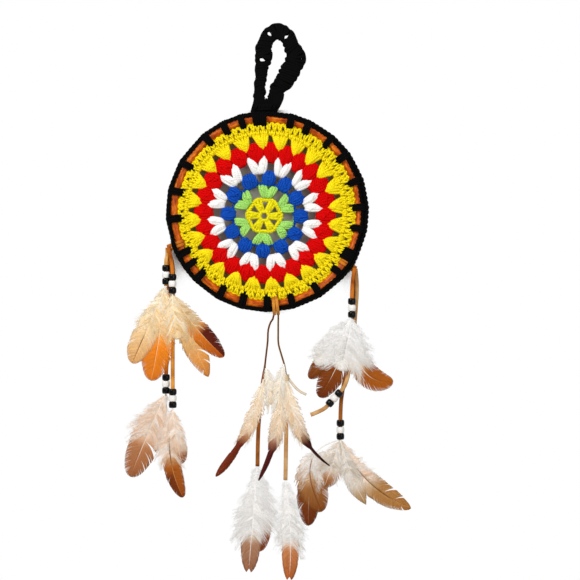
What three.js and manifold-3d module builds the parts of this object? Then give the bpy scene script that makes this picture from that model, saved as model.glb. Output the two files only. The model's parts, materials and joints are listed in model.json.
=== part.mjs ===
// Crochet dream catcher: a cane hoop carries a crocheted mandala of six coloured rounds. A black
// crocheted edging ties the mandala to the hoop, a black loop hangs it up, and suede laces with
// beads and feathers hang from three hitches on the hoop.
// The origin is the point inside the loop's top that rests on the nail. X is to the right, Z is up,
// the front faces -Y, and lengths are in millimetres.
import * as THREE from 'three';
import { mergeVertices } from 'three/addons/utils/BufferGeometryUtils.js';
import Module from 'manifold-3d';

const wasm = await Module();
wasm.setup();

// Driving sizes
const CLEARANCE = 0.4; // between neighbouring pieces
const HOOP_RADIUS = 74.4; // centre line of the cane
const CANE_RADIUS = 3.6;
const HOOP_LEAN = 1.3; // the hoop's centre is this far right of the loop's foot

const EDGING_YARN_RADIUS = 1.6; // the black chain along the rim
const EDGING_TILT = 40; // degrees from the rim's outermost line towards the front
const STITCH_WIDTH = 5.4; // a black stitch that wraps the cane
const STITCH_THICKNESS = 1.5;

const LOOP_WIDTH = 16; // the loop's band where it is widest
const LOOP_DEPTH = 7;
const FOOT_RADIUS = 4; // the round foot that the loop rocks on
const BINDING_WIDTH = 19;
const BINDING_DEPTH = 13;
const BINDING_HEIGHT = 4.6;

const POST_DEPTH = 4.4; // front to back of a crochet cluster
const CHAIN_RADIUS = 1.15; // the chain that joins the cluster tops of a round
const EYE_RADIUS = 2; // the hole that the first round is worked into

const HITCH_WIDTH = 6.6; // two turns of lace side by side
const LACE_WIDTH = 3.2;
const LACE_THICKNESS = 1.4;
const BEAD_RADIUS = 3.2;
const BEAD_LENGTH = 4.9;
const QUILL_RADIUS = 0.5;
const VANE_THICKNESS = 0.8;
const TIE_LENGTH = 5; // thread that binds the hackles to their lace
const TIE_THICKNESS = 0.9;
const LOOSE_END = [14, -13]; // the tie's loose end, as x and z

// Black stitches over the cane, in degrees anticlockwise from the hoop's right-hand side
const STITCH_ANGLES = [
  2, 18, 35, 48, 64, 75, 96.5, 105.5, 116.5, 129.5, 150, 167.5,
  184.5, 206.5, 214.5, 223.5, 240.5, 254.5, 269.7, 285, 302, 319, 333, 349,
];

// Rounds of the mandala, from the middle out. crest and valley are the radii of a round's chain, on its
// centre line, over a cluster and between two clusters. foot and spread shape a cluster's sides: the
// shares of half a cluster's pitch where a side leaves the round below and where it meets the chain.
// In a paired round two clusters share one gap of the round below.
const HEART_CREST = 13.8;
const HEART_VALLEY = 12.4;
const GREEN_CREST = 23.8;
const GREEN_VALLEY = 21;
const BLUE_CREST = 32.8;
const BLUE_VALLEY = 26.4;
const WHITE_CREST = 44.6;
const WHITE_VALLEY = 38.8;
const RED_CREST = 52.8;
const RED_VALLEY = 49.4;
const OUTER_BAND = 6.4; // width of the outer round's closed band
const ROUNDS = [
  { name: 'centre_round_yellow', colour: 0xffd400, clusters: 6, crest: HEART_CREST, valley: HEART_VALLEY },
  {
    name: 'second_round_green', colour: 0x9bea5c, clusters: 12, crest: GREEN_CREST, valley: GREEN_VALLEY,
    paired: true, foot: 0.12, spread: 1,
  },
  {
    name: 'third_round_blue', colour: 0x0a37c4, clusters: 12, crest: BLUE_CREST, valley: BLUE_VALLEY,
    foot: 0.2, spread: 1,
  },
  {
    name: 'fourth_round_white', colour: 0xf6f4f0, clusters: 24, crest: WHITE_CREST, valley: WHITE_VALLEY,
    paired: true, foot: 0.1, spread: 1,
  },
  {
    name: 'fifth_round_red', colour: 0xe60505, clusters: 24, crest: RED_CREST, valley: RED_VALLEY,
    foot: 0.1, spread: 1.1,
  },
  { name: 'outer_round_yellow', colour: 0xffe000, clusters: 24, band: OUTER_BAND, foot: 0.1, spread: 1 },
];
const MANDALA_TURN = 58; // degrees: the first cluster of the middle round
const MANDALA_SAG = [-2.2, -4]; // the middle is pulled this far off the hoop's centre, as x and z

// The loop's route from its left foot over the nail to its right foot, as x and z, and the share of the
// loop's width that its crocheted band has there
const LOOP_ROUTE = [
  [-14.6, -46.8, 0.54], [-13.2, -42, 0.59], [-13.6, -36.8, 0.55], [-12.2, -30.3, 0.58], [-12, -24.4, 0.63],
  [-10.9, -15.6, 0.75], [-10.4, -8.6, 0.77], [-9.3, -3.9, 0.76], [-6, 3, 0.73], [-0.2, 6.6, 0.81],
  [5.2, 5.2, 0.79], [8.9, 2.2, 0.73], [12.9, -5.6, 0.73], [15.6, -13.9, 0.94], [12.5, -21.5, 0.98],
  [8.8, -29.1, 1], [5.6, -34.2, 0.91], [2, -38.6, 0.73], [-1, -43, 0.66], [-3.2, -47.8, 0.6],
];

// Laces. Each hitch is an angle on the hoop, and its laces hang from its outer face: depth is the
// lace's place front to back, and route its points, as x and z from the lace's top end. A lace runs
// through its three beads, each a bead length apart, ending at the route's last point. beadsBack is
// how far up the lace the lowest bead's end is, and shift how far along its hitch the lace starts.
const TASSELS = [
  {
    name: 'left', angle: 200.5, out: -1,
    laces: [
      {
        name: 'left_upper_front', depth: -4.6, beads: true,
        route: [[2, -6], [3.4, -14], [3.8, -20], [3.8, -36.8]],
      },
      {
        name: 'left_upper_rear', depth: -2.1, beads: true, beadsBack: 1.4,
        route: [[0, -6], [-0.8, -10], [-1, -30.8]],
      },
      {
        name: 'left_lower_front', depth: -0.2, beads: true,
        route: [[2.6, -8], [4.4, -16], [4.4, -40], [4.2, -80], [4.2, -128.2]],
      },
      {
        name: 'left_lower_rear', depth: 4, beads: true,
        route: [[0.2, -12], [-1, -40], [-1.6, -80], [-2.8, -100], [-3, -117.4]],
      },
    ],
  },
  {
    name: 'centre', angle: 275.2, out: 0,
    laces: [
      {
        name: 'centre_right', depth: -2.7, shift: 1.5,
        route: [
          [-0.1, -14], [0.1, -23], [2.5, -32], [5.3, -42], [6.5, -60], [6.5, -84], [6.1, -108], [5.7, -132],
        ],
      },
      {
        name: 'centre_left', depth: 0.7, shift: -2.2,
        route: [
          [-0.4, -2.5], [-2.6, -6], [-4.4, -12], [-4.8, -20.5], [-6.1, -32], [-8.2, -50], [-10.6, -68],
          [-11.8, -84], [-12.6, -100], [-13, -121],
        ],
      },
    ],
  },
  {
    name: 'right', angle: 326.5, out: 1,
    laces: [
      { name: 'right_upper', depth: -5.5, route: [[-1.4, -8], [-2.2, -20], [-2.4, -39.6]], beads: true },
      {
        name: 'right_bare', depth: -1.3, beads: true, beadsBack: 16,
        route: [
          [1, -14], [-0.8, -43], [-4.6, -76], [-7.4, -90], [-10.3, -96], [-17.3, -103.6], [-24.3, -111.2],
          [-28.4, -113.6], [-36, -116.8],
        ],
      },
      {
        name: 'right_lower', depth: 2.9, beads: true,
        route: [[0.6, -14], [-1.6, -43], [-5.4, -76], [-9.6, -98], [-11, -110], [-11.4, -137.2]],
      },
    ],
  },
];

// Feathers. lace names what holds the feather. via and tip bend the shaft, as x and z from the quill's
// end, width is the vane's widest, depth its place front to back from the lace, and down how far below
// the lace's top end a tied feather starts.
const FEATHERS = [
  {
    name: 'left_upper_tan_feather', lace: 'left_upper_rear',
    via: [-16, -36], tip: [-27, -61], width: 20, depth: -1,
  },
  {
    name: 'left_upper_orange_feather', lace: 'left_upper_rear',
    via: [-5, -40], tip: [-12.5, -75], width: 22, depth: 0.2,
  },
  {
    name: 'left_upper_brown_feather', lace: 'left_upper_front',
    via: [18, -23], tip: [41, -50], width: 18, depth: 0.2,
  },
  {
    name: 'left_upper_pale_feather', lace: 'left_upper_front',
    via: [13, -30], tip: [27, -66], width: 15, depth: 1.4,
  },
  {
    name: 'left_lower_wide_feather', lace: 'left_lower_rear',
    via: [-15, -32], tip: [-27, -66], width: 24, depth: 0,
  },
  {
    name: 'left_lower_rust_feather', lace: 'left_lower_front',
    via: [-8, -40], tip: [8.4, -71], width: 14, depth: 0,
  },
  {
    name: 'centre_left_hackle', lace: 'centre_left',
    down: 52, via: [-5, -40], tip: [-38, -78], width: 16, depth: -1.6, hackle: true,
  },
  {
    name: 'centre_inner_hackle', lace: 'centre_right',
    down: 48, via: [-3, -49], tip: [-21.6, -85], width: 16, depth: -1.6, hackle: true,
  },
  {
    name: 'centre_right_hackle', lace: 'centre_right',
    down: 48, via: [6, -42], tip: [35, -73], width: 16, depth: -2.8, hackle: true,
  },
  {
    name: 'centre_left_long_feather', lace: 'centre_left',
    via: [-4, -42], tip: [-7, -85], width: 24, depth: -0.2,
  },
  {
    name: 'centre_left_short_feather', lace: 'centre_left',
    via: [5, -36], tip: [1.5, -68], width: 20, depth: 1.1,
  },
  {
    name: 'centre_right_feather', lace: 'centre_right',
    via: [3, -40], tip: [1.6, -79.5], width: 20, depth: 0,
  },
  {
    name: 'right_upper_dark_feather', lace: 'right_upper',
    via: [-9, -38], tip: [-30, -57], width: 23, depth: 2.4,
  },
  {
    name: 'right_upper_brown_feather', lace: 'right_upper',
    via: [1, -56], tip: [33, -50], width: 19, depth: 0.6,
  },
  {
    name: 'right_lower_dark_feather', lace: 'right_lower',
    via: [-33, -12], tip: [-24, -67], width: 22, depth: 0.8,
  },
  {
    name: 'right_lower_tan_feather', lace: 'right_lower',
    via: [16, -38], tip: [56, -55], width: 18, depth: -0.5,
  },
];

const COLOURS = {
  cane: 0xc8681e, blackYarn: 0x0b0a0b, suede: 0xb5651d, blackBead: 0x0c0c0e, whiteBead: 0xf2f2f0,
  feather: 0xd9b48c, hackle: 0xe6cfae,
};

const degrees = THREE.MathUtils.degToRad;
const at = (x, z, depth = 0) => new THREE.Vector3(x, depth, z);
const polar = (radius, angle, depth = 0) => at(radius * Math.cos(angle), radius * Math.sin(angle), depth);

// Solids: a closed geometry as a manifold, manifolds joined, and a manifold as a named mesh

function solid(geometry) {
  const bare = new THREE.BufferGeometry().setAttribute('position', geometry.getAttribute('position'));
  bare.setIndex(geometry.getIndex());
  const merged = mergeVertices(bare, 1e-4);
  const source = merged.getIndex().array;
  const kept = [];
  for (let i = 0; i < source.length; i += 3) {
    const [a, b, c] = source.slice(i, i + 3);
    if (a !== b && b !== c && c !== a) kept.push(a, b, c);
  }
  const mesh = new wasm.Mesh({
    numProp: 3,
    vertProperties: merged.getAttribute('position').array,
    triVerts: new Uint32Array(kept),
  });
  return new wasm.Manifold(mesh);
}

const join = (solids) => solids.reduce((whole, piece) => whole.add(piece));

function named(name, manifold, colour, roughness = 0.85) {
  const data = manifold.getMesh();
  const geometry = new THREE.BufferGeometry();
  geometry.setAttribute('position', new THREE.BufferAttribute(new Float32Array(data.vertProperties), 3));
  geometry.setIndex(new THREE.BufferAttribute(new Uint32Array(data.triVerts), 1));
  geometry.computeVertexNormals();
  const material = new THREE.MeshStandardMaterial({ color: colour, roughness, metalness: 0 });
  const mesh = new THREE.Mesh(geometry, material);
  mesh.name = name;
  return mesh;
}

// A surface through rings of points. Each ring has as many points, in the same order. A closed run joins
// its last ring to its first, and an open one is capped with a fan at each end.
function skin(rings, closed) {
  const sides = rings[0].length;
  const index = [];
  const spans = closed ? rings.length : rings.length - 1;
  for (let i = 0; i < spans; i += 1) {
    const next = (i + 1) % rings.length;
    for (let j = 0; j < sides; j += 1) {
      const k = (j + 1) % sides;
      index.push(i * sides + j, next * sides + k, next * sides + j);
      index.push(i * sides + j, i * sides + k, next * sides + k);
    }
  }
  const last = (rings.length - 1) * sides;
  for (let j = 1; j < sides - 1 && !closed; j += 1) {
    index.push(0, j + 1, j);
    index.push(last, last + j, last + j + 1);
  }
  const geometry = new THREE.BufferGeometry().setFromPoints(rings.flat());
  return geometry.setIndex(index);
}

// A closed tube round the hoop's axis
function ringTube(radius, thickness, steps, sides, depth = 0) {
  const rings = [];
  for (let i = 0; i < steps; i += 1) {
    const angle = (2 * Math.PI * i) / steps;
    const ring = [];
    for (let j = 0; j < sides; j += 1) {
      const turn = (2 * Math.PI * j) / sides;
      ring.push(polar(radius + thickness * Math.cos(turn), angle, depth + thickness * Math.sin(turn)));
    }
    rings.push(ring);
  }
  return solid(skin(rings, true));
}

// A flat strap with chamfered edges, 8 sides, as a shape: x is front to back and y is across, as a path in
// the XZ plane carries it
function strap(thickness, width) {
  const t = thickness / 2;
  const w = width / 2;
  const c = thickness / 4;
  const points = [
    [t, c - w], [t, w - c], [t - c, w], [c - t, w], [-t, w - c], [-t, c - w], [c - t, -w], [t - c, -w],
  ];
  return new THREE.Shape(points.map(([x, y]) => new THREE.Vector2(x, y)));
}

function sweep(shape, path, steps) {
  const settings = { steps, extrudePath: path, bevelEnabled: false };
  return solid(new THREE.ExtrudeGeometry(shape, settings));
}

// A ring round an axis along local Z, cut square: a band of lace, a stitch or a tie. Its flats, not its
// corners, are at the two radii.
function band(inner, outer, width, sides) {
  const flat = Math.cos(Math.PI / sides);
  const profile = [[inner, -width / 2], [outer, -width / 2], [outer, width / 2], [inner, width / 2]];
  const points = [...profile, profile[0]].map(([x, y]) => new THREE.Vector2(x / flat, y));
  return new THREE.LatheGeometry(points, sides, Math.PI / sides).rotateX(Math.PI / 2);
}

// Places a band so that its axis follows the hoop at an angle, with its centre moved from the cane's
function roundTheCane(geometry, angle, outward = 0, forward = 0) {
  const place = polar(HOOP_RADIUS + outward, angle, -forward);
  const tangent = polar(1, angle + Math.PI / 2);
  const radial = polar(1, angle);
  const normal = new THREE.Vector3().crossVectors(tangent, radial);
  const basis = new THREE.Matrix4().makeBasis(radial, normal, tangent);
  return solid(geometry.applyMatrix4(basis.setPosition(place)));
}

// The mandala

// The mandala reaches to the stitches that wrap the cane
const STITCH_SIDES = 8;
const stitchBore = CANE_RADIUS + CLEARANCE;
const stitchReach = (stitchBore + STITCH_THICKNESS) / Math.cos(Math.PI / STITCH_SIDES);
const mandalaRadius = HOOP_RADIUS - stitchReach - CLEARANCE;

// A point of the mandala: pulled off the hoop's centre in the middle, and less towards the hoop
function woven(radius, angle, depth = 0) {
  const pull = 1 - (radius / mandalaRadius) ** 3;
  return polar(radius, angle, depth).add(at(MANDALA_SAG[0] * pull, MANDALA_SAG[1] * pull));
}

// A round's outer edge at an angle: its chain, highest over the clusters
function outerEdge(round, angle) {
  if (round.band) return mandalaRadius;
  const mean = (round.crest + round.valley) / 2;
  const swell = (round.crest - round.valley) / 2;
  return mean + swell * Math.cos(round.clusters * (angle - round.firstTop)) + CHAIN_RADIUS;
}

// A round's inner edge: down in a gap of the round below at a cluster's foot, up at the chain beside it
function innerEdge(round, below, angle) {
  if (!below) return EYE_RADIUS;
  const gapTurn = (below.clusters * (angle - below.firstTop)) / (2 * Math.PI);
  const beside = 2 * Math.abs(gapTurn - Math.floor(gapTurn) - 0.5);
  const rise = THREE.MathUtils.smoothstep(beside, round.foot, round.spread);
  const foot = below.valley + CHAIN_RADIUS + CLEARANCE;
  const top = outerEdge(round, angle) - (round.band ?? 2 * CHAIN_RADIUS);
  return Math.max(foot + (top - foot) * rise, outerEdge(below, angle) + CLEARANCE);
}

// Six points of a round's section between its edges, as deep as it is wide up to a cluster's depth
function roundSection(inner, outer, angle) {
  const half = Math.min(POST_DEPTH, outer - inner) / 2;
  const bevel = half * 0.6;
  return [
    woven(inner, angle), woven(inner + bevel, angle, -half), woven(outer - bevel, angle, -half),
    woven(outer, angle), woven(outer - bevel, angle, half), woven(inner + bevel, angle, half),
  ];
}

function makeMandala() {
  const meshes = [];
  let below = null;
  for (const round of ROUNDS) {
    const firstGap = below ? below.firstTop + Math.PI / below.clusters : degrees(MANDALA_TURN);
    round.firstTop = round.paired ? firstGap - Math.PI / round.clusters : firstGap;
    const steps = round.clusters * (round.clusters < 20 ? 6 : 4);
    const rings = [];
    for (let i = 0; i < steps; i += 1) {
      const angle = firstGap + (2 * Math.PI * i) / steps;
      rings.push(roundSection(innerEdge(round, below, angle), outerEdge(round, angle), angle));
    }
    meshes.push(named(round.name, solid(skin(rings, true)), round.colour));
    below = round;
  }
  return meshes;
}

// The hoop and its edging

const edgingReach = CANE_RADIUS + CLEARANCE + EDGING_YARN_RADIUS; // chain's centre from the cane's
const edgingOut = edgingReach * Math.cos(degrees(EDGING_TILT));
const edgingForward = edgingReach * Math.sin(degrees(EDGING_TILT));
const rimRadius = HOOP_RADIUS + edgingOut + EDGING_YARN_RADIUS;

function makeHoop() {
  return named('cane_hoop', ringTube(HOOP_RADIUS, CANE_RADIUS, 60, 8), COLOURS.cane, 0.5);
}

function makeEdging() {
  const rim = ringTube(HOOP_RADIUS + edgingOut, EDGING_YARN_RADIUS, 60, 6, -edgingForward);
  const stitches = STITCH_ANGLES.map((angle) => (
    roundTheCane(band(stitchBore, stitchBore + STITCH_THICKNESS, STITCH_WIDTH, STITCH_SIDES), degrees(angle))
  ));
  return named('black_edging', join([rim, ...stitches]), COLOURS.blackYarn);
}

// The hanging loop and the binding under it

const loopFoot = at(
  (LOOP_ROUTE[0][0] + LOOP_ROUTE.at(-1)[0]) / 2,
  (LOOP_ROUTE[0][1] + LOOP_ROUTE.at(-1)[1]) / 2 - CLEARANCE,
);
const bindingTop = loopFoot.z - FOOT_RADIUS - CLEARANCE;
const hoopCentre = at(loopFoot.x + HOOP_LEAN, bindingTop - BINDING_HEIGHT - CLEARANCE - rimRadius);

// The loop's band: ovals square to its route, as wide as the route says at each point
function makeLoop() {
  const path = new THREE.CatmullRomCurve3(LOOP_ROUTE.map(([x, z]) => at(x, z)));
  const shares = new THREE.SplineCurve(LOOP_ROUTE.map((point, i) => new THREE.Vector2(i, point[2])));
  const steps = LOOP_ROUTE.length * 2;
  const rings = [];
  for (let i = 0; i <= steps; i += 1) {
    const tangent = path.getTangent(i / steps);
    const across = at(-tangent.z, tangent.x).multiplyScalar((LOOP_WIDTH / 2) * shares.getPoint(i / steps).y);
    const ring = [];
    for (let j = 0; j < 8; j += 1) {
      const turn = (2 * Math.PI * j) / 8;
      const deep = at(0, 0, (-LOOP_DEPTH / 2) * Math.sin(turn));
      ring.push(path.getPoint(i / steps).addScaledVector(across, Math.cos(turn)).add(deep));
    }
    rings.push(ring);
  }
  const foot = new THREE.CylinderGeometry(FOOT_RADIUS, FOOT_RADIUS, LOOP_DEPTH, 14);
  foot.translate(loopFoot.x, loopFoot.y, loopFoot.z);
  return named('hanging_loop', join([solid(skin(rings, false)), solid(foot)]), COLOURS.blackYarn);
}

function makeBinding() {
  const r = BINDING_DEPTH / 2;
  const h = BINDING_HEIGHT;
  const profile = [[0, 0], [r - h / 3, 0], [r, h / 3], [r, (2 * h) / 3], [r - h / 3, h], [0, h]];
  const points = profile.map(([x, y]) => new THREE.Vector2(x, y));
  const knot = new THREE.LatheGeometry(points, 14).rotateX(Math.PI / 2);
  knot.scale(BINDING_WIDTH / BINDING_DEPTH, 1, 1).translate(loopFoot.x, 0, bindingTop - h);
  return named('loop_binding', solid(knot), COLOURS.blackYarn);
}

// Hitches, laces, beads and feathers

// A hitch clears both the cane and the chain beside it: its bore is the circle round the two
const hitchBore = (CANE_RADIUS + edgingReach + EDGING_YARN_RADIUS) / 2 + CLEARANCE;
const hitchOuter = hitchBore + LACE_THICKNESS;
const hitchShift = hitchBore - CLEARANCE - CANE_RADIUS;
const hitchOut = hitchShift * Math.cos(degrees(EDGING_TILT));
const hitchForward = hitchShift * Math.sin(degrees(EDGING_TILT));

function makeHitch(tassel) {
  const ring = band(hitchBore, hitchOuter, HITCH_WIDTH, 16);
  const placed = roundTheCane(ring, degrees(tassel.angle), hitchOut, hitchForward);
  return named(`${tassel.name}_hitch`, placed.translate(hoopCentre.x, 0, hoopCentre.z), COLOURS.suede, 0.9);
}

// The top end of a lace: beside the hitch's outer face, or under it where the lace swings to the front
function laceTop(tassel, lace) {
  const aside = Math.max(0, Math.abs(lace.depth + hitchForward) - LACE_THICKNESS / 2);
  const round = Math.sqrt(hitchOuter ** 2 - aside ** 2);
  const reach = HOOP_RADIUS + hitchOut + round + CLEARANCE;
  const angle = degrees(tassel.angle);
  const side = tassel.out * (LACE_WIDTH / 2) * Math.abs(Math.cos(angle));
  const along = polar(lace.shift ?? 0, angle + Math.PI / 2);
  return polar(reach, angle, lace.depth).add(hoopCentre).add(at(side, 0)).add(along);
}

function laceRoute(tassel, lace) {
  const top = laceTop(tassel, lace);
  const points = [[0, 0], ...lace.route].map(([x, z]) => at(top.x + x, top.z + z, lace.depth));
  return new THREE.CatmullRomCurve3(points, false, 'centripetal');
}

function makeLace(lace) {
  const steps = Math.max(4, Math.round(lace.path.getLength() / (LACE_WIDTH * 3)));
  const ribbon = sweep(strap(LACE_THICKNESS, LACE_WIDTH), lace.path, steps);
  return named(`${lace.name}_lace`, ribbon, COLOURS.suede, 0.9);
}

const beadBore = Math.hypot(LACE_WIDTH, LACE_THICKNESS) / 2 + CLEARANCE;
const beadStep = BEAD_LENGTH + CLEARANCE;

function makeBeads(lace) {
  const r = BEAD_RADIUS;
  const h = BEAD_LENGTH / 2;
  const rim = (r + beadBore) / 2;
  const profile = [
    [beadBore, -h], [rim, -h], [r, -h / 3], [r, h / 3], [rim, h], [beadBore, h], [beadBore, -h],
  ];
  const length = lace.path.getLength();
  return ['lower_black', 'white', 'upper_black'].map((name, i) => {
    const along = 1 - ((lace.beadsBack ?? 0) + h + i * beadStep) / length;
    const bead = new THREE.LatheGeometry(profile.map(([x, y]) => new THREE.Vector2(x, y)), 8);
    const up = lace.path.getTangentAt(along).negate();
    const turn = new THREE.Quaternion().setFromUnitVectors(new THREE.Vector3(0, 1, 0), up);
    bead.applyQuaternion(turn).translate(...lace.path.getPointAt(along).toArray());
    const colour = name === 'white' ? COLOURS.whiteBead : COLOURS.blackBead;
    return named(`${lace.name}_${name}_bead`, solid(bead), colour, 0.25);
  });
}

// Half the vane's width along the shaft: a bare quill, a swelling vane and a round tip. A hackle is
// slim all along and pointed.
function vaneHalf(feather, t) {
  const bare = 0.08;
  const s = Math.max(0, (t - bare) / (1 - bare));
  const slim = Math.sin(Math.PI * s ** 0.6) ** 1.2;
  const full = Math.sin(Math.PI * s ** 1.4) ** 0.45;
  const swell = feather.hackle ? slim : full;
  return Math.max(QUILL_RADIUS, (feather.width / 2) * swell);
}

function makeFeather(feather, lace) {
  const base = feather.down
    ? lace.path.getPointAt(feather.down / lace.path.getLength())
    : lace.path.getPoint(1).add(at(0, -CLEARANCE));
  const depth = lace.depth + feather.depth;
  const shaft = new THREE.QuadraticBezierCurve3(
    at(base.x, base.z, depth),
    at(base.x + feather.via[0], base.z + feather.via[1], depth),
    at(base.x + feather.tip[0], base.z + feather.tip[1], depth),
  );
  const rings = [0, 0.08, 0.2, 0.35, 0.5, 0.65, 0.8, 0.92, 1].map((t) => {
    const point = shaft.getPoint(t);
    const tangent = shaft.getTangent(t);
    const side = at(-tangent.z, tangent.x).multiplyScalar(vaneHalf(feather, t) * (t === 1 ? 0.4 : 1));
    const thick = new THREE.Vector3(0, (VANE_THICKNESS / 2) * (1 - t / 2), 0);
    return [
      point.clone().add(side),
      point.clone().sub(thick),
      point.clone().sub(side),
      point.clone().add(thick),
    ];
  });
  return named(feather.name, solid(skin(rings, false)), feather.hackle ? COLOURS.hackle : COLOURS.feather);
}

// Thread round a lace and the quills laid on it, with one loose end
function makeTie(lace, quills) {
  const along = (quills[0].down + TIE_LENGTH / 2 + CLEARANCE) / lace.path.getLength();
  const front = Math.min(...quills.map((quill) => quill.depth)) - VANE_THICKNESS / 2 - CLEARANCE;
  const back = LACE_THICKNESS / 2 + CLEARANCE;
  const inner = new THREE.Vector2(LACE_WIDTH / 2 + CLEARANCE, (back - front) / 2);
  const ring = band(1, 1 + TIE_THICKNESS / inner.x, TIE_LENGTH, 4).scale(inner.x, inner.y, 1);
  const tangent = lace.path.getTangentAt(along);
  ring.applyQuaternion(new THREE.Quaternion().setFromUnitVectors(new THREE.Vector3(0, 0, -1), tangent));
  const place = lace.path.getPointAt(along).setY(lace.depth + (front + back) / 2);
  ring.translate(...place.toArray());
  const start = place.clone().add(at(inner.x + TIE_THICKNESS / 2, 0));
  const end = start.clone().add(at(LOOSE_END[0], LOOSE_END[1]));
  const tail = sweep(strap(TIE_THICKNESS, TIE_THICKNESS), new THREE.LineCurve3(start, end), 1);
  return named('centre_right_tie', join([solid(ring), tail]), COLOURS.hackle);
}

function makeTassel(tassel) {
  const group = new THREE.Group();
  group.add(makeHitch(tassel));
  for (const lace of tassel.laces) {
    lace.path = laceRoute(tassel, lace);
    group.add(makeLace(lace));
    if (lace.beads) group.add(...makeBeads(lace));
    const held = FEATHERS.filter((feather) => feather.lace === lace.name);
    for (const feather of held) group.add(makeFeather(feather, lace));
    const tied = held.filter((feather) => feather.down);
    if (tied.length > 1) group.add(makeTie(lace, tied));
  }
  return group;
}

// The whole

const hoop = new THREE.Group();
hoop.position.copy(hoopCentre);
hoop.add(makeHoop(), makeEdging(), ...makeMandala());

const dreamCatcher = new THREE.Group();
dreamCatcher.add(makeLoop(), makeBinding(), hoop, ...TASSELS.map(makeTassel));

export default dreamCatcher;
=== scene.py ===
# %% [markdown]
# # A crochet dream catcher in Blender
# The ornament is a cane hoop with a crocheted mandala of six coloured rounds inside it. Black yarn ties
# the mandala to the hoop and makes the loop that hangs on a nail, and suede laces with beads and
# feathers hang below. The measured model is the frame, and every piece here takes its place from it.
# Lengths are millimetres in the formulas and become metres when a mesh is made. The front faces -Y.

# %% Load the frame
import json

import bpy
import numpy as np
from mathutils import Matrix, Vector


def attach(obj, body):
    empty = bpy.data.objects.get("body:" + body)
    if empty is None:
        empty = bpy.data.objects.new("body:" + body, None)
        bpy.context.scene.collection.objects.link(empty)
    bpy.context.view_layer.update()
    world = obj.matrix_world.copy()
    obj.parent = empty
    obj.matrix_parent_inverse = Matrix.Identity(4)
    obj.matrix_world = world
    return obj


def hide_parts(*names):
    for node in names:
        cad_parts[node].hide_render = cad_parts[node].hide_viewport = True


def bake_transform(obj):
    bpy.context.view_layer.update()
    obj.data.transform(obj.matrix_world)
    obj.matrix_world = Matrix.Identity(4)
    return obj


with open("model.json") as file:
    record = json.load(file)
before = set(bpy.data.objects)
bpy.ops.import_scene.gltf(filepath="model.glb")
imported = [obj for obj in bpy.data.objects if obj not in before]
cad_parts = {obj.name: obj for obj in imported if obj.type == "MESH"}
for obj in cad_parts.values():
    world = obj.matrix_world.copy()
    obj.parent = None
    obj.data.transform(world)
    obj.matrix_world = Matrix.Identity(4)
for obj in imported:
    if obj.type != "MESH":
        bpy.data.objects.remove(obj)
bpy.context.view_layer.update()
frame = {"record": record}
MM = 0.001
HOOP = np.array([-7.6, 0.0, -137.39])  # the hoop's centre
HOOP_RADIUS = 74.4  # to the middle of the cane
CANE_RADIUS = 3.6

# %% [markdown]
# ## The camera
# The ornament hangs flat and is seen straight from the front. A long lens, 1.29 m away, keeps the hoop
# round, and at that distance one pixel of the 580 pixel frame is 0.8 mm.

# %% Camera
def put(name, data):
    """A new object at the origin, linked to the scene."""
    made = bpy.data.objects.new(name, data)
    bpy.context.scene.collection.objects.link(made)
    return made


camera = put("camera", bpy.data.cameras.new("camera"))
camera.data.lens = 100
camera.data.sensor_width = 36
camera.location = (0.0108, -1.2889, -0.2004)
camera.rotation_euler = (np.pi / 2, 0, 0)
bpy.context.scene.camera = camera
print("camera at", tuple(camera.location))

# %% [markdown]
# ## Lines and skins
# Almost everything here is something long: yarn, lace, barbs of a feather. So one helper draws a smooth
# line through a few points, and one lays a skin round many lines at once. Curve objects with a bevel
# could do it too, but thousands of them would be slow, and arrays let each strand have its own shape.

# %% Smooth lines
def length_of(line):
    """The distances between neighbouring points, summed up."""
    return np.linalg.norm(np.diff(line, axis=0), axis=1).sum()


def even(line, count):
    """The same line cut into equal lengths: the distance along it is summed up and read off evenly."""
    steps = np.linalg.norm(np.diff(line, axis=0), axis=1)
    along = np.concatenate([[0.0], np.cumsum(steps)])
    wanted = np.linspace(0, along[-1], count)
    return np.stack([np.interp(wanted, along, axis) for axis in line.T], axis=1)


def flow(points, count):
    """A smooth line through points. Each span is a cubic whose end slopes come from the neighbouring
    points, weighed by the square root of their distances, so that it never loops."""
    p = np.asarray(points, float)
    p = np.vstack([2 * p[0] - p[1], p, 2 * p[-1] - p[-2]])
    gap = np.sqrt(np.linalg.norm(np.diff(p, axis=0), axis=1))[:, None]
    a, b, c, d = p[:-3], p[1:-2], p[2:-1], p[3:]
    ga, gb, gc = gap[:-2], gap[1:-1], gap[2:]
    leave = ((b - a) / ga - (c - a) / (ga + gb) + (c - b) / gb) * gb
    arrive = ((c - b) / gb - (d - b) / (gb + gc) + (d - c) / gc) * gb
    t = np.linspace(0, 1, 24, endpoint=False)[:, None, None]
    spans = (2 * t**3 - 3 * t**2 + 1) * b + (t**3 - 2 * t**2 + t) * leave
    spans = spans + (3 * t**2 - 2 * t**3) * c + (t**3 - t**2) * arrive
    line = np.vstack([spans.transpose(1, 0, 2).reshape(-1, p.shape[1]), p[-2:-1]])
    return even(line, count)


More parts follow.
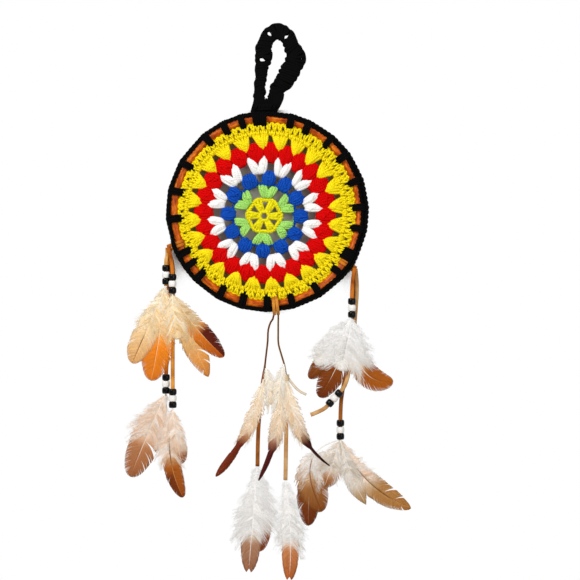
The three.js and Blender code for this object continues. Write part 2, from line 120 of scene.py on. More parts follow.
# %% Skins
def skin(grid, closed=False, tint=None):
    """Faces over grids of points (count, steps, sides, 3). Neighbouring rings are joined by quads, the
    ends of an open run are capped, and UV is (share of the way round, mm along)."""
    count, steps, sides, _ = grid.shape
    index = np.arange(count * steps * sides).reshape(count, steps, sides)
    here = index if closed else index[:, :-1]
    there = np.roll(index, -1, axis=1) if closed else index[:, 1:]
    quads = np.stack([here, np.roll(here, -1, 2), np.roll(there, -1, 2), there], axis=-1)
    middle = grid.mean(axis=2)
    ahead = np.linalg.norm(np.roll(middle, -1, axis=1) - middle, axis=2)
    along = np.concatenate([np.zeros((count, 1)), np.cumsum(ahead, axis=1)], axis=1)
    v0 = np.repeat(along[:, : here.shape[1], None], sides, axis=2)
    v1 = np.repeat(along[:, 1 : here.shape[1] + 1, None], sides, axis=2)
    u0 = np.broadcast_to(np.arange(sides) / sides, v0.shape)
    u1 = u0 + 1 / sides
    corners = [np.stack(pair, axis=-1) for pair in ((u0, v0), (u1, v0), (u1, v1), (u0, v1))]
    faces = [quads.reshape(-1, 4)]
    uv = [np.stack(corners, axis=-2).reshape(-1, 2)]
    if not closed:
        faces += [index[:, 0, ::-1], index[:, -1]]
        for end in (0, steps - 1):
            v = np.repeat(along[:, [end]], sides, axis=1)
            uv.append(np.stack([np.full(v.shape, 0.5), v], axis=-1).reshape(-1, 2))
    if tint is not None:
        tint = np.repeat(tint[:, :, None, :], sides, axis=2).reshape(-1, 3)
    return {"points": grid.reshape(-1, 3), "faces": faces, "uv": np.concatenate(uv), "tint": tint}


def tubes(paths, thick, wide=None, sides=6, lead=(0, -1, 0), closed=False, roll=0.0, square=1.0, tint=None):
    """Rods along many paths (count, steps, 3). Two directions are square to the path: up, which is lead
    less its share along the path, and out, their cross product. The section is an ellipse, thick along up
    and wide along out, turned by roll; square below 1 fills its corners (the cosines are raised to that
    power)."""
    paths = np.asarray(paths, float)
    ahead = np.roll(paths, -1, 1) - np.roll(paths, 1, 1) if closed else np.gradient(paths, axis=1)
    ahead = ahead / np.linalg.norm(ahead, axis=2, keepdims=True)
    lead = np.broadcast_to(lead, paths.shape)
    up = lead - (lead * ahead).sum(2, keepdims=True) * ahead
    up = up / np.linalg.norm(up, axis=2, keepdims=True)
    out = np.cross(ahead, up)
    turn = np.broadcast_to(np.asarray(roll, float), paths.shape[:2])[..., None]
    up, out = np.cos(turn) * up + np.sin(turn) * out, np.cos(turn) * out - np.sin(turn) * up
    thick = np.broadcast_to(thick, paths.shape[:2])[..., None, None]
    wide = thick if wide is None else np.broadcast_to(wide, paths.shape[:2])[..., None, None]
    a = (np.arange(sides) + 0.5) * 2 * np.pi / sides
    across = np.sign(np.cos(a)) * np.abs(np.cos(a)) ** square
    aside = np.sign(np.sin(a)) * np.abs(np.sin(a)) ** square
    ring = thick * across[:, None] * up[:, :, None] + wide * aside[:, None] * out[:, :, None]
    return skin(paths[:, :, None] + ring, closed, tint)


# %% Pieces
def piece(name, parts, finish, nodes=(), body=None):
    """One object from skins: points, faces, UV and tint are joined end to end in a mesh in metres."""
    starts = np.cumsum([0] + [len(part["points"]) for part in parts])
    points = np.concatenate([part["points"] for part in parts]) * MM
    faces = [face + start for part, start in zip(parts, starts) for face in part["faces"]]
    sizes = np.concatenate([np.full(len(face), face.shape[1]) for face in faces])
    mesh = bpy.data.meshes.new(name)
    mesh.vertices.add(len(points))
    mesh.vertices.foreach_set("co", points.ravel())
    mesh.loops.add(int(sizes.sum()))
    mesh.loops.foreach_set("vertex_index", np.concatenate([face.ravel() for face in faces]))
    mesh.polygons.add(len(sizes))
    mesh.polygons.foreach_set("loop_start", np.cumsum(sizes) - sizes)
    mesh.update(calc_edges=True)
    mesh.shade_smooth()
    uv = np.concatenate([part["uv"] for part in parts]).astype(np.float32)
    mesh.uv_layers.new(name="lay").uv.foreach_set("vector", uv.ravel())
    if parts[0]["tint"] is not None:
        tint = np.concatenate([part["tint"] for part in parts])
        tint = np.column_stack([tint, np.ones(len(tint))]).astype(np.float32)
        mesh.color_attributes.new("plumage", "FLOAT_COLOR", "POINT").data.foreach_set("color", tint.ravel())
    mesh.materials.append(finish)
    made = put(name, mesh)
    if body:
        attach(made, body)
    if nodes:
        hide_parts(*nodes)
    print(name, "has", len(sizes), "faces")
    return made


# %% [markdown]
# ## Colours and nodes
# Hex colours are written for the screen (sRGB), while shaders count in linear light, so one function turns
# them. Another adds a node with its settings, values and links.

# %% Colour and node helpers
def linear(code):
    """An sRGB hex colour in linear light: the standard power curve, with its short straight start."""
    c = np.array([int(code[i : i + 2], 16) for i in (1, 3, 5)]) / 255
    return np.where(c <= 0.04045, c / 12.92, ((c + 0.055) / 1.055) ** 2.4)


def add(tree, kind, values=None, links=None, stops=None, **settings):
    """One node. Its kind is Blender's name for it without ShaderNode, settings are its options, values its
    inputs and stops a colour ramp. A link comes from a socket, or from the first output of a node."""
    made = tree.nodes.new("ShaderNode" + kind)
    for key, value in settings.items():
        setattr(made, key, value)
    for key, value in (values or {}).items():
        made.inputs[key].default_value = value
    for key, source in (links or {}).items():
        tree.links.new(getattr(source, "outputs", [source])[0], made.inputs[key])
    for i, (place, code) in enumerate(stops or []):
        ramp = made.color_ramp.elements
        stop = ramp[i] if i < 2 else ramp.new(place)
        stop.position = place
        stop.color = (*linear(code), 1)
    return made


def material(name):
    """An empty node material, and its tree."""
    made = bpy.data.materials.new(name)
    made.use_nodes = True
    made.node_tree.nodes.clear()
    return made, made.node_tree


# %% [markdown]
# ## Suede lace
# The laces are strips of suede about 3 mm wide: leather split so that its flesh side shows, which leaves a
# matt nap with soft blotches and no shine. Two noises do it, a broad one for the dye and a fine one for the
# nap, drawn at 0.5 mm so that it shows. The cut edges are given a darker colour, partly the suede's own cut
# edge and partly painted shade, the dark line of a lace seen edge on: the sine of the way round the strip is
# near one there. Five dyes are seen, from straw to brown.

# %% Suede
LACE_SIDES = 12  # faces round a lace


def suede(name, dark, light, edge):
    """Dyed suede: dark to light by the sum of both noises, and the edge colour on its cut sides, partly
    painted shade.
    """
    made, tree = material(name)
    where = add(tree, "TexCoord").outputs["Object"]
    dye = add(tree, "TexNoise", {"Scale": 1 / (9 * MM), "Detail": 3}, {"Vector": where})
    nap = add(tree, "TexNoise", {"Scale": 1 / (0.5 * MM), "Detail": 2}, {"Vector": where})
    both = add(tree, "Math", {1: 0.35}, {0: nap, 2: dye}, operation="MULTIPLY_ADD")
    tone = add(tree, "ValToRGB", links={"Fac": both}, stops=[(0.45, dark), (0.9, light)])
    lay = add(tree, "UVMap", uv_map="lay")
    turn = add(tree, "VectorMath", {1: (2 * np.pi, 0, 0)}, {0: lay}, operation="DOT_PRODUCT")
    turn = add(tree, "Math", {1: np.pi / LACE_SIDES}, {0: turn.outputs["Value"]}, operation="ADD")
    sine = add(tree, "Math", links={0: turn}, operation="SINE")
    aside = add(tree, "Math", links={0: sine}, operation="ABSOLUTE")
    # the darker cut edges are partly painted shade of a lace seen edge on
    cut = add(tree, "MapRange", {1: 0.72, 2: 0.9}, {0: aside})
    whole = add(tree, "Mix", {7: (*linear(edge), 1)}, {0: cut, 6: tone}, data_type="RGBA")
    bump = add(tree, "Bump", {"Strength": 0.4, "Distance": 0.2 * MM}, {"Height": nap})
    matt = {"Roughness": 0.92, "Specular IOR Level": 0.1}
    shade = add(tree, "BsdfPrincipled", matt, {"Base Color": whole.outputs[2], "Normal": bump})
    add(tree, "OutputMaterial", links={"Surface": shade})
    return made


# each dye's last colour is its cut edge, partly painted shade
TAN_SUEDE = suede("tan suede", "#B8741F", "#EBC07A", "#9A6222")
RUSSET_SUEDE = suede("russet suede", "#8A3D08", "#D27A26", "#6E3408")
BROWN_SUEDE = suede("brown suede", "#6E3208", "#B06A2A", "#5A3410")
AMBER_SUEDE = suede("amber suede", "#A85C12", "#EAA244", "#8A4A10")
STRAW_SUEDE = suede("straw suede", "#B07A40", "#D8AE78", "#5A3C14")
print("suede in five dyes")

# %% [markdown]
# ## Laces
# Nine lace ends hang from three hitches on the hoop. They are free cords, so each repeats its route in the
# measured model: the top end, how far front to back it hangs, and points below the top. A lace turns on
# its way down, so some stretches are seen edge on.

# %% Lace routes
LACES = {
    "left_upper_front": (-86.69, -166.40, -4.6, [(2, -6), (3.4, -14), (3.8, -20), (3.8, -36.8)]),
    "left_upper_rear": (-87.19, -166.59, -2.1, [(0, -6), (-0.8, -10), (-1, -30.8)]),
    "left_lower_front": (
        -87.19, -166.59, -0.2,
        [(2.6, -8), (4.4, -16), (4.4, -40), (4.2, -80), (4.2, -128.2)],
    ),
    "left_lower_rear": (-85.75, -166.05, 4, [(0.2, -12), (-1, -40), (-1.6, -80), (-2.8, -100), (-3, -117.4)]),
    "centre_right": (
        1.45, -220.24, -2.7,
        [(-0.1, -14), (0.1, -23), (2.5, -32), (5.3, -42), (6.5, -60), (6.5, -84), (6.1, -108), (5.7, -132)],
    ),
    "centre_left": (
        -2.24, -220.53, 0.7,
        [(-0.4, -2.5), (-2.6, -6), (-4.4, -12), (-4.8, -20.5), (-6.1, -32), (-8.2, -50), (-10.6, -68),
         (-11.8, -84), (-12.6, -100), (-13, -121)],
    ),
    "right_upper": (62.44, -182.86, -5.5, [(-1.4, -8), (-2.2, -20), (-2.4, -39.6)]),
    "right_bare": (
        63.26, -183.41, -1.3,
        [(1, -14), (-0.8, -43), (-4.6, -76), (-7.4, -90), (-10.3, -96), (-17.3, -103.6), (-24.3, -111.2),
         (-28.4, -113.6), (-36, -116.8)],
    ),
    "right_lower": (
        62.57, -182.95, 2.9,
        [(0.6, -14), (-1.6, -43), (-5.4, -76), (-9.6, -98), (-11, -110), (-11.4, -137.2)],
    ),
}
LINES = {}
for lace, (x, z, depth, route) in LACES.items():
    points = [(x + dx, depth, z + dz) for dx, dz in [(0, 0), *route]]
    LINES[lace] = flow(points, 40)
    print(lace, "lace is", round(float(length_of(LINES[lace])), 1), "mm long")

# %% [markdown]
# ## Beads
# Glass crow beads, black, white, black, hold the feathers in the lace's end. A bead is a short barrel with
# a bore, so its profile is a closed rounded outline turned round the lace: a grid that closes both ways.

# %% Bead glass
def surface(tree, height, stops, strength, depth, values):
    """The end of a finish: one height gives the colour by a ramp, and a relief of depth mm by a bump."""
    tone = add(tree, "ValToRGB", links={"Fac": height}, stops=stops)
    bump = add(tree, "Bump", {"Strength": strength, "Distance": depth * MM}, {"Height": height})
    shade = add(tree, "BsdfPrincipled", values, {"Base Color": tone, "Normal": bump})
    add(tree, "OutputMaterial", links={"Surface": shade})


def glass(name, deep, pale):
    """Pressed bead glass: smooth and bright, with a slight waviness from the mould."""
    made, tree = material(name)
    where = add(tree, "TexCoord").outputs["Object"]
    wave = add(tree, "TexNoise", {"Scale": 1 / (2.5 * MM), "Detail": 2}, {"Vector": where})
    bright = {"Roughness": 0.16, "IOR": 1.4, "Specular IOR Level": 0.2}
    surface(tree, wave, [(0.35, deep), (0.7, pale)], strength=0.15, depth=0.2, values=bright)
    return made


GLASS = {
    "black": glass("black bead glass", "#010101", "#040405"),
    "white": glass("white bead glass", "#E9E9E6", "#FAFAF8"),
}
BEAD_BORE = 1.85  # radius of the hole
BEAD_RADIUS = 3.2
BEAD_LENGTH = 4.9
BEAD_STEP = 5.3  # from one bead to the next


def bead(middle, axis):
    """A barrel bead: radius and height follow the cosine and sine of a turn, and that closed oval
    goes round the axis."""
    a = np.arange(16) * 2 * np.pi / 16
    turn = np.arange(28) * 2 * np.pi / 28
    half = (BEAD_RADIUS - BEAD_BORE) / 2
    radius = BEAD_BORE + half + half * np.cos(a)
    height = BEAD_LENGTH / 2 * np.sin(a)
    side = np.cross(axis, (0, -1, 0))
    side = side / np.linalg.norm(side)
    front = np.cross(side, axis)
    ring = np.cos(turn)[:, None] * front + np.sin(turn)[:, None] * side
    grid = middle + radius[None, :, None] * ring[:, None] + height[None, :, None] * axis
    return skin(grid[None], closed=True)


# %% Beads on their laces
FINE = 400  # even steps in which a lace is read off
BARE_END = {"right_bare": 16, "left_upper_rear": 1.4}  # mm of lace below the lowest bead
BEADS = {}


def tassel(lace):
    """The body that a lace swings with: its side is the first word of its name."""
    return lace.split("_")[0] + "_tassel"


for lace, line in LINES.items():
    if lace.startswith("centre"):
        continue
    fine = even(line, FINE)
    to_end = length_of(line) * np.linspace(1, 0, FINE)
    BEADS[lace] = []
    for i, place in enumerate(("lower_black", "white", "upper_black")):
        here = np.argmin(np.abs(to_end - BARE_END.get(lace, 0) - BEAD_LENGTH / 2 - i * BEAD_STEP))
        axis = fine[max(here - 3, 0)] - fine[min(here + 3, FINE - 1)]
        part = bead(fine[here], axis / np.linalg.norm(axis))
        colour = place.split("_")[-1]
        node = f"{lace}_{place}_bead"
        made = piece(f"bead_{node}", [part], GLASS[colour], [node], tassel(lace))
        BEADS[lace].append(made)

# %% [markdown]
# The lace itself is a flat strip, a soft rectangle 3.2 by 1.4 mm carried along its route. The two bottom
# laces hang edge on at first, so their turn starts near a right angle and runs out half way down.

# %% Lace strips
LACE_THICK = 1.4
LACE_WIDE = 3.2
LACE_LOOK = {  # dye, and its turn in radians at the top and at the end
    "left_upper_front": (RUSSET_SUEDE, 0.1, 0.1), "left_upper_rear": (TAN_SUEDE, 0.3, 0.1),
    "left_lower_front": (AMBER_SUEDE, 0.2, -0.2), "left_lower_rear": (RUSSET_SUEDE, 0.2, 0.2),
    "centre_right": (STRAW_SUEDE, 1.5, 0.1), "centre_left": (BROWN_SUEDE, 1.5, -0.15),
    "right_upper": (RUSSET_SUEDE, 0.2, 0.1), "right_bare": (STRAW_SUEDE, -0.2, 0.2),
    "right_lower": (BROWN_SUEDE, 0.2, 0.15),
}
for lace, line in LINES.items():
    finish, first, last = LACE_LOOK[lace]
    share = np.linspace(0, 1, len(line))
    roll = last + (first - last) * (1 - np.clip((share - 0.34) / 0.14, 0, 1))
    strip = tubes(line[None], LACE_THICK / 2, LACE_WIDE / 2, sides=LACE_SIDES, roll=roll, square=0.5)
    made = piece(f"lace_{lace}", [strip], finish, [f"{lace}_lace"])
    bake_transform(made)

# %% [markdown]
# ## Light and background
# The picture has a plain white ground. A wall just behind the ornament gives it: camera rays see plain white
# there, but where the crochet lies close over it they see the wall's own grey paint, lit and shadowed, so the
# gaps look into shadow: partly real shadow, partly painted shade. The share of open sky over each point
# (ambient occlusion) tells where that is, so the shade goes when the hoop swings away. From behind, the wall
# is clear, and it lets a lamp's light pass. A pale floor lies well below. Two broad soft lamps light the
# front, and a weaker one the back.

# %% Wall and floor
SHADE_REACH = 82  # mm above and below the hoop's centre
WALL_Y = 0.0078  # metres, just behind the hoop's back
FLOOR_Z = -0.6  # metres


def sheet(name, corners, finish):
    """One flat face of the stage."""
    mesh = bpy.data.meshes.new(name)
    mesh.from_pydata(corners, [], [(0, 1, 2, 3)])
    mesh.materials.append(finish)
    put(name, mesh)


def backdrop(name):
    """Matt pale paint that camera, glossy and transmission rays see as plain white, except at the hoop's
    height where less than about a third of the sky over it is open: there they see the paint, lit and
    shadowed, as painted shade."""
    made, tree = material(name)
    ray = add(tree, "LightPath").outputs
    seen = add(tree, "Math", links={0: ray["Is Camera Ray"], 1: ray["Is Glossy Ray"]}, operation="MAXIMUM")
    seen = add(tree, "Math", links={0: seen, 1: ray["Is Transmission Ray"]}, operation="MAXIMUM")
    where = add(tree, "TexCoord").outputs["Object"]
    height = add(tree, "VectorMath", {1: (0, 0, 1)}, {0: where}, operation="DOT_PRODUCT").outputs["Value"]
    level = add(tree, "Math", {1: HOOP[2] * MM, 2: SHADE_REACH * MM}, {0: height}, operation="COMPARE")
    sky = add(tree, "AmbientOcclusion", {"Distance": 30 * MM}, samples=12)
    close = add(tree, "MapRange", {1: 0.42, 2: 0.28}, {0: sky.outputs["AO"]})
    # painted shade: where the sky is shut off, camera rays see the darker paint instead of white
    painted_shade_mask = add(tree, "Math", links={0: level, 1: close}, operation="MULTIPLY")
    plain = add(tree, "Math", links={0: seen, 1: painted_shade_mask}, operation="SUBTRACT", use_clamp=True)
    # the grey paint darkens the gaps beyond their real shadow: painted shade
    paint = add(tree, "BsdfDiffuse", {"Color": (*linear("#AEA395"), 1)})
    white = add(tree, "Emission", {"Color": (1, 1, 1, 1), "Strength": 1})
    front = add(tree, "MixShader", links={0: plain, 1: paint, 2: white})
    clear = add(tree, "BsdfTransparent")
    behind = add(tree, "NewGeometry").outputs["Backfacing"]
    passes = add(tree, "Math", links={0: behind, 1: ray["Is Shadow Ray"]}, operation="MAXIMUM")
    whole = add(tree, "MixShader", links={0: passes, 1: front, 2: clear})
    add(tree, "OutputMaterial", links={"Surface": whole})
    return made


wall = [(x, WALL_Y, z) for x, z in ((-1, -0.6), (1, -0.6), (1, 0.6), (-1, 0.6))]
floor = [(x, y, FLOOR_Z) for x, y in ((-1.5, -2), (1.5, -2), (1.5, 1), (-1.5, 1))]
sheet("wall", wall, backdrop("wall paint"))
sheet("floor", floor, backdrop("floor paint"))
print("wall and floor")

# %% Lamps and world
AIM = Vector((0, 0, -0.2))  # the middle of the ornament


def lamp(name, place, size, power):
    """A square lamp that looks at the ornament."""
    light = bpy.data.lights.new(name, "AREA")
    light.size = size
    light.energy = power
    made = put(name, light)
    made.location = place
    made.rotation_euler = (AIM - Vector(place)).to_track_quat("-Z", "Y").to_euler()


lamp("key", (-0.75, -1.1, 0.55), 0.5, 15)
lamp("fill", (0.8, -1.2, 0.0), 0.9, 6.5)
lamp("back", (0.5, 1.2, 0.3), 0.9, 3)
world = bpy.data.worlds.new("world")
bpy.context.scene.world = world
world.use_nodes = True
tree = world.node_tree
tree.nodes.clear()
ray = add(tree, "LightPath").outputs
seen = add(tree, "Math", links={0: ray["Is Camera Ray"], 1: ray["Is Transmission Ray"]}, operation="MAXIMUM")
sky = add(tree, "Background", {"Color": (1, 1, 1, 1), "Strength": 0.42})
white = add(tree, "Background", {"Color": (1, 1, 1, 1), "Strength": 1})
both = add(tree, "MixShader", links={0: seen, 1: sky, 2: white})
add(tree, "OutputWorld", links={"Surface": both})
bpy.context.scene.view_settings.view_transform = "Standard"
print("three lamps and a white world")

# %% [markdown]
# ## The cane hoop
# A peeled cane, about 7 mm thick, bent to a ring and varnished orange. Along it run fine dark streaks,
# about 3 mm broad and 9 mm long, and every 7 cm the cane has a slight knuckle. A torus would be too even, so
# the ring's thickness swells at the knuckles, and the grain is a noise stretched along the length.

# %% Varnished cane
cane, tree = material("varnished cane")
lay = add(tree, "UVMap", uv_map="lay")
along_it = add(tree, "Mapping", {"Scale": (5, 1 / 14, 1)}, {"Vector": lay})
grain = add(tree, "TexNoise", {"Scale": 1.6, "Detail": 5, "Roughness": 0.65}, {"Vector": along_it})
streaks = [(0.3, "#6A1E00"), (0.5, "#BC4E00"), (0.74, "#FC9A20")]
varnish = {"Roughness": 0.45, "Specular IOR Level": 0.16, "Coat Weight": 0.04, "Coat Roughness": 0.2}
surface(tree, grain, streaks, strength=0.25, depth=0.3, values=varnish)


def on_hoop(radius, angle, depth):
    """Points round the hoop's centre: radius, degrees anticlockwise from the right, and depth."""
    radius, angle, depth = np.broadcast_arrays(radius, np.radians(angle), depth)
    return HOOP + np.stack([radius * np.cos(angle), depth, radius * np.sin(angle)], axis=-1)


KNUCKLE_STEP = 51.43  # degrees, a seventh of the ring
ring = np.arange(240) * 1.5
knuckle = np.exp(-(((ring + 20) % KNUCKLE_STEP - 25.7) ** 2) / 4)
swollen = CANE_RADIUS - 0.12 + 0.3 * knuckle
piece(
    "cane_ring", [tubes(on_hoop(HOOP_RADIUS, ring, 0)[None], swollen, sides=16, closed=True)],
    cane, ["cane_hoop"], "hoop",
)

# %% [markdown]
# ## Yarn
# The crochet is acrylic knitting yarn, about 2 mm thick: three soft plies twisted together, matt and a
# little fuzzy. A ply shows every 1.7 mm along the strand, so the height is the sine of three times the way
# round plus the length over 1.7 mm. The grooves between plies are painted darker: painted shade, from the
# same height that gives the relief.

# %% Yarn finish
def plies(tree, count, step):
    """The height of twisted plies: the sine of count turns round plus the length over step mm."""
    lay = add(tree, "UVMap", uv_map="lay")
    twist = (2 * count * np.pi, 2 * np.pi / step, 0)
    slant = add(tree, "VectorMath", {1: twist}, {0: lay}, operation="DOT_PRODUCT")
    return add(tree, "Math", links={0: slant.outputs["Value"]}, operation="SINE")


def yarn(name, deep, light):
    """Plied yarn: painted shade deep in the grooves, light on the plies, and a fine noise for the fuzz."""
    made, tree = material(name)
    ply = plies(tree, count=3, step=1.7)
    where = add(tree, "TexCoord").outputs["Object"]
    fuzz = add(tree, "TexNoise", {"Scale": 1 / (0.7 * MM), "Detail": 3}, {"Vector": where})
    height = add(tree, "Math", {1: 0.22}, {0: ply, 2: fuzz}, operation="MULTIPLY_ADD")
    matt = {"Roughness": 0.9, "Specular IOR Level": 0.08}
    # the ramp runs from the groove colour to the ply colour: painted shade in the grooves
    surface(tree, height, [(0.2, deep), (0.6, light)], strength=0.6, depth=0.25, values=matt)
    return made


# each yarn's first colour is its painted shade in the grooves, the second its colour on the plies
BLACK_YARN = yarn("black acrylic yarn", "#010101", "#070606")
print("black yarn")

# %% [markdown]
# ## The black edging
# Black yarn is chained along the hoop's outer side, and at 26 places it is pulled over the cane to catch
# the mandala's edge. The chain is a braid of three strands: each swings from side to side and front to back,
# a third of a turn behind the next. Between two catches it runs nearly straight, which takes off half the
# radius times the angles to either catch. It is worked more loosely on the right, where the band is wider,
# and it lifts a little where the side laces pass under it. Each catch is three turns of yarn round the cane.

# %% Edging chain
STITCHES = np.array([  # degrees anticlockwise from the right
    2, 18, 35, 48, 64, 75, 92.2, 96.5, 105.5, 116.5, 129.5, 150, 167.5,
    184.5, 206.5, 214.5, 223.5, 240.5, 254.5, 269.7, 285, 302, 319, 329.8, 333, 349,
])
LEFT_HITCH = 200.5  # degrees, where the side laces leave the hoop
RIGHT_HITCH = 326.5
EDGE_RADIUS = 80.9
BRAID_TURNS = 44
angle = np.arange(720) / 2
wave = np.radians(angle)
broad = 3.7 + 2.9 * (0.5 + 0.5 * np.cos(wave)) ** 3 + 0.3 * np.sin(5 * wave + 1)
corners = np.radians(np.concatenate([STITCHES[-1:] - 360, STITCHES, STITCHES[:1] + 360]))
after = np.searchsorted(corners, wave, side="right")
straight = HOOP_RADIUS / 2 * (wave - corners[after - 1]) * (corners[after] - wave)
outer = EDGE_RADIUS + 0.35 * np.cos(wave) - 0.4 * np.sin(wave) + 0.45 * np.cos(2 * wave) - 0.8 * straight
lift = np.exp(-(((angle - LEFT_HITCH) / 4) ** 2)) + np.exp(-(((angle - RIGHT_HITCH) / 4) ** 2))
phase = np.radians(angle * BRAID_TURNS)[None] + np.array([0, 2, 4])[:, None] * np.pi / 3
chain_radius = outer - broad / 2 + 0.8 * lift + (broad / 2 - 1.3) * np.sin(phase)
chain = on_hoop(chain_radius, angle[None], -2.9 - 1.1 * lift + np.cos(2 * phase))
print("chain of", chain.shape[0], "strands")

# %% Edging stitches
TURN_STEP = 1.85  # mm between the turns of a catch
turns = np.arange(28) * 2 * np.pi / 28
rng = np.random.default_rng(5)
start = STITCHES[:, None] + np.degrees(np.array([-TURN_STEP, 0.0, TURN_STEP]) / HOOP_RADIUS)
start = (start + rng.normal(0, 0.15, (len(STITCHES), 3))).reshape(-1, 1)
is_middle = np.arange(len(start))[:, None] % 3 == 1
inner = np.where(is_middle, 6.9, 5.8) + rng.normal(0, 0.4, start.shape)
out = np.where(np.cos(turns) < 0, inner, 5.2) * np.cos(turns)
front = np.where(np.sin(turns) > 0, 5.0, 4.75) * -np.sin(turns)
wraps = on_hoop(HOOP_RADIUS + out, start + 0.4 * np.sin(turns), front)
sideways = np.broadcast_to(on_hoop(1, start + 90, 0) - HOOP, wraps.shape)
parts = [
    tubes(chain, 1.35, sides=7, closed=True),
    tubes(wraps, 1.25, sides=6, lead=sideways, closed=True),
]
piece("edging", parts, BLACK_YARN, ["black_edging"], "hoop")

# %% [markdown]
# ## The hanging loop
# The loop is a crocheted band, 9 mm wide on the left and up to 16 mm on the right, pinched where it turns.
# Rows of stitches cross it, front and back, between two knobbly edges. So its points are given by the share
# of its length and the share of its half width, four strands run along inside, and the yarn parts round
# three holes.

# %% Loop band
LOOP_WIDTH = 16
ROUTE = np.array([  # x, z and the share of the width
    (-14.6, -46.8, 0.54), (-13.2, -42, 0.59), (-13.6, -36.8, 0.55), (-12.2, -30.3, 0.58),
    (-12.2, -24.4, 0.64), (-11.2, -19.1, 0.72), (-10.4, -15, 0.85), (-10.2, -12.3, 0.89),
    (-10.8, -8.6, 0.78), (-9.3, -3.9, 0.76), (-6, 3, 0.73), (-0.2, 6.6, 0.81), (5.2, 5.2, 0.79),
    (8.9, 2.2, 0.73), (12.5, -6.6, 0.79), (16.2, -14.2, 0.95), (12.7, -21.5, 0.98), (8.8, -29.1, 1),
    (5.6, -34.2, 0.91), (1.2, -38.8, 0.77), (-0.5, -43.3, 0.69), (-3.2, -47.8, 0.6),
])
HOLES = [(-5.6, 4.2), (7.5, 2.0), (-11.5, -15.9)]  # x and z
line = flow(np.column_stack([ROUTE[:, 0], 0 * ROUTE[:, 0], ROUTE[:, 1]]), 240)
ahead = np.gradient(line, axis=0)
side = np.cross(ahead / np.linalg.norm(ahead, axis=1, keepdims=True), (0, -1, 0))
along = np.linspace(0, 1, len(line))
knots = np.concatenate([[0], np.cumsum(np.linalg.norm(np.diff(ROUTE[:, :2], axis=0), axis=1))])
half = LOOP_WIDTH / 2 * np.interp(along, knots / knots[-1], ROUTE[:, 2]) - 1.0
half = half * (1 + 0.04 * np.sin(2 * np.pi * 13 * along) + 0.03 * np.sin(2 * np.pi * 22 * along + 1))
print("loop band is", round(float(length_of(line))), "mm long")


def on_band(share, aside, depth):
    """Points of the band: the middle line at a share of its length, moved aside by a share of its half
    width. Near a hole the distance d from it grows to the root of d squared plus a square that dies away."""
    share, aside, depth = np.broadcast_arrays(share, aside, depth)
    middle = np.stack([np.interp(share, along, axis) for axis in line.T], axis=-1)
    way = np.stack([np.interp(share, along, axis) for axis in side.T], axis=-1)
    points = middle + (aside * np.interp(share, along, half))[..., None] * way
    for hole in HOLES:
        away = points[..., [0, 2]] - hole
        far = np.linalg.norm(away, axis=-1, keepdims=True) + 1e-6
        points[..., [0, 2]] = hole + away / far * np.sqrt(far**2 + 5.3 * np.exp(-((far / 4) ** 2)))
    points[..., 1] = depth
    return points


# %% Loop yarn
ROWS = 62  # stitches across the band, on each face
BUMPS = 31  # knobs along each edge
rng = np.random.default_rng(8)
across = np.linspace(-1, 1, 12)
starts = np.linspace(0.005, 0.985, ROWS)[:, None] + rng.normal(0, 0.0015, (ROWS, 1))
for x, z in HOLES:
    off = starts - along[np.argmin(np.hypot(line[:, 0] - x, line[:, 2] - z))]
    starts = starts - off + np.where(off < 0, -1, 1) * np.hypot(off, 0.008 * np.exp(-((off / 0.02) ** 2)))
bulge = 0.9 + 1.0 * np.cos(np.pi / 2 * across)
rungs = [on_band(starts + tilt * across, across, -face * bulge) for face, tilt in ((1, 0.009), (-1, -0.009))]
share = np.linspace(0, 1, 200)
knobs = 2 * np.pi * BUMPS * share
ripple = np.sin(knobs) * np.sin(2 * np.pi * 5 * share + 1)
edges = [
    on_band(share, sign * (0.97 + (0.08 + 0.04 * sign) * ripple), 0.9 * np.sin(knobs + sign))
    for sign in (-1, 1)
]
core = on_band(share, np.array([-0.75, -0.45, 0.45, 0.75])[:, None], 0.0)
parts = [
    tubes(np.concatenate(rungs), 1.4, sides=7),
    tubes(np.stack(edges), 1.25, sides=8),
    tubes(core, 0.9, sides=6),
]
piece("crochet_loop", parts, BLACK_YARN, ["hanging_loop"], "loop")

# %% [markdown]
# At its foot both legs are gathered in a lump of yarn that is sewn to the hoop. Its left edge spreads with
# the square of the way down, its right edge draws in, and a notch at the top parts the legs. The binding is
# two turns of yarn, laced over.

# %% Foot and binding
FOOT_TOP = -43.5
FOOT_END = -58.2
BINDING_X = -8.9
lean = np.linspace(0, 1, 14)[:, None]
down = np.linspace(0, 1, 12)
first = FOOT_TOP - 5 * np.exp(-(((-17 + 22 * lean + 8) / 2.6) ** 2))
drop_z = first + (FOOT_END - first) * down
left = -17.2 - 1.5 * ((-44 - drop_z) / 12.5) ** 2
right = 4.8 - 5.6 * np.clip((-46 - drop_z) / 10.5, 0, 1) ** 1.6
drop_x = left + (right - left) * lean + 0.4 * np.sin(9 * lean + 5 * down)
swell = 1 + 0.2 * np.sin(np.pi * down)
layers = [np.stack([drop_x, depth * swell + 0 * drop_x, drop_z], -1) for depth in (-2.2, 2.2)]
made = piece("loop_foot", [tubes(np.concatenate(layers), 1.35, sides=7)], BLACK_YARN)
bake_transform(made)
spin = np.linspace(0, 2 * np.pi, 40, endpoint=False)
coils = np.stack([BINDING_X + 8.1 * np.cos(spin), 5.1 * np.sin(spin), 0.5 * np.sin(spin + 0.7)], -1)
coils = coils[None] + np.array([-55.6, -53.2])[:, None, None] * np.array([0, 0, 1])
lacing = np.linspace(-7.2, 7.2, 6)[:, None]
over = np.stack(np.broadcast_arrays(
    BINDING_X + lacing + 1.3 * np.cos(spin), -0.2 + 5.4 * np.sin(spin), -54.4 + 1.9 * np.cos(spin),
), -1)
parts = [
    tubes(coils, 1.45, sides=8, closed=True),
    tubes(over, 1.0, sides=7, lead=(0.8, 0, -0.6), closed=True),
]
piece("binding", parts, BLACK_YARN, ["loop_binding"], "binding")

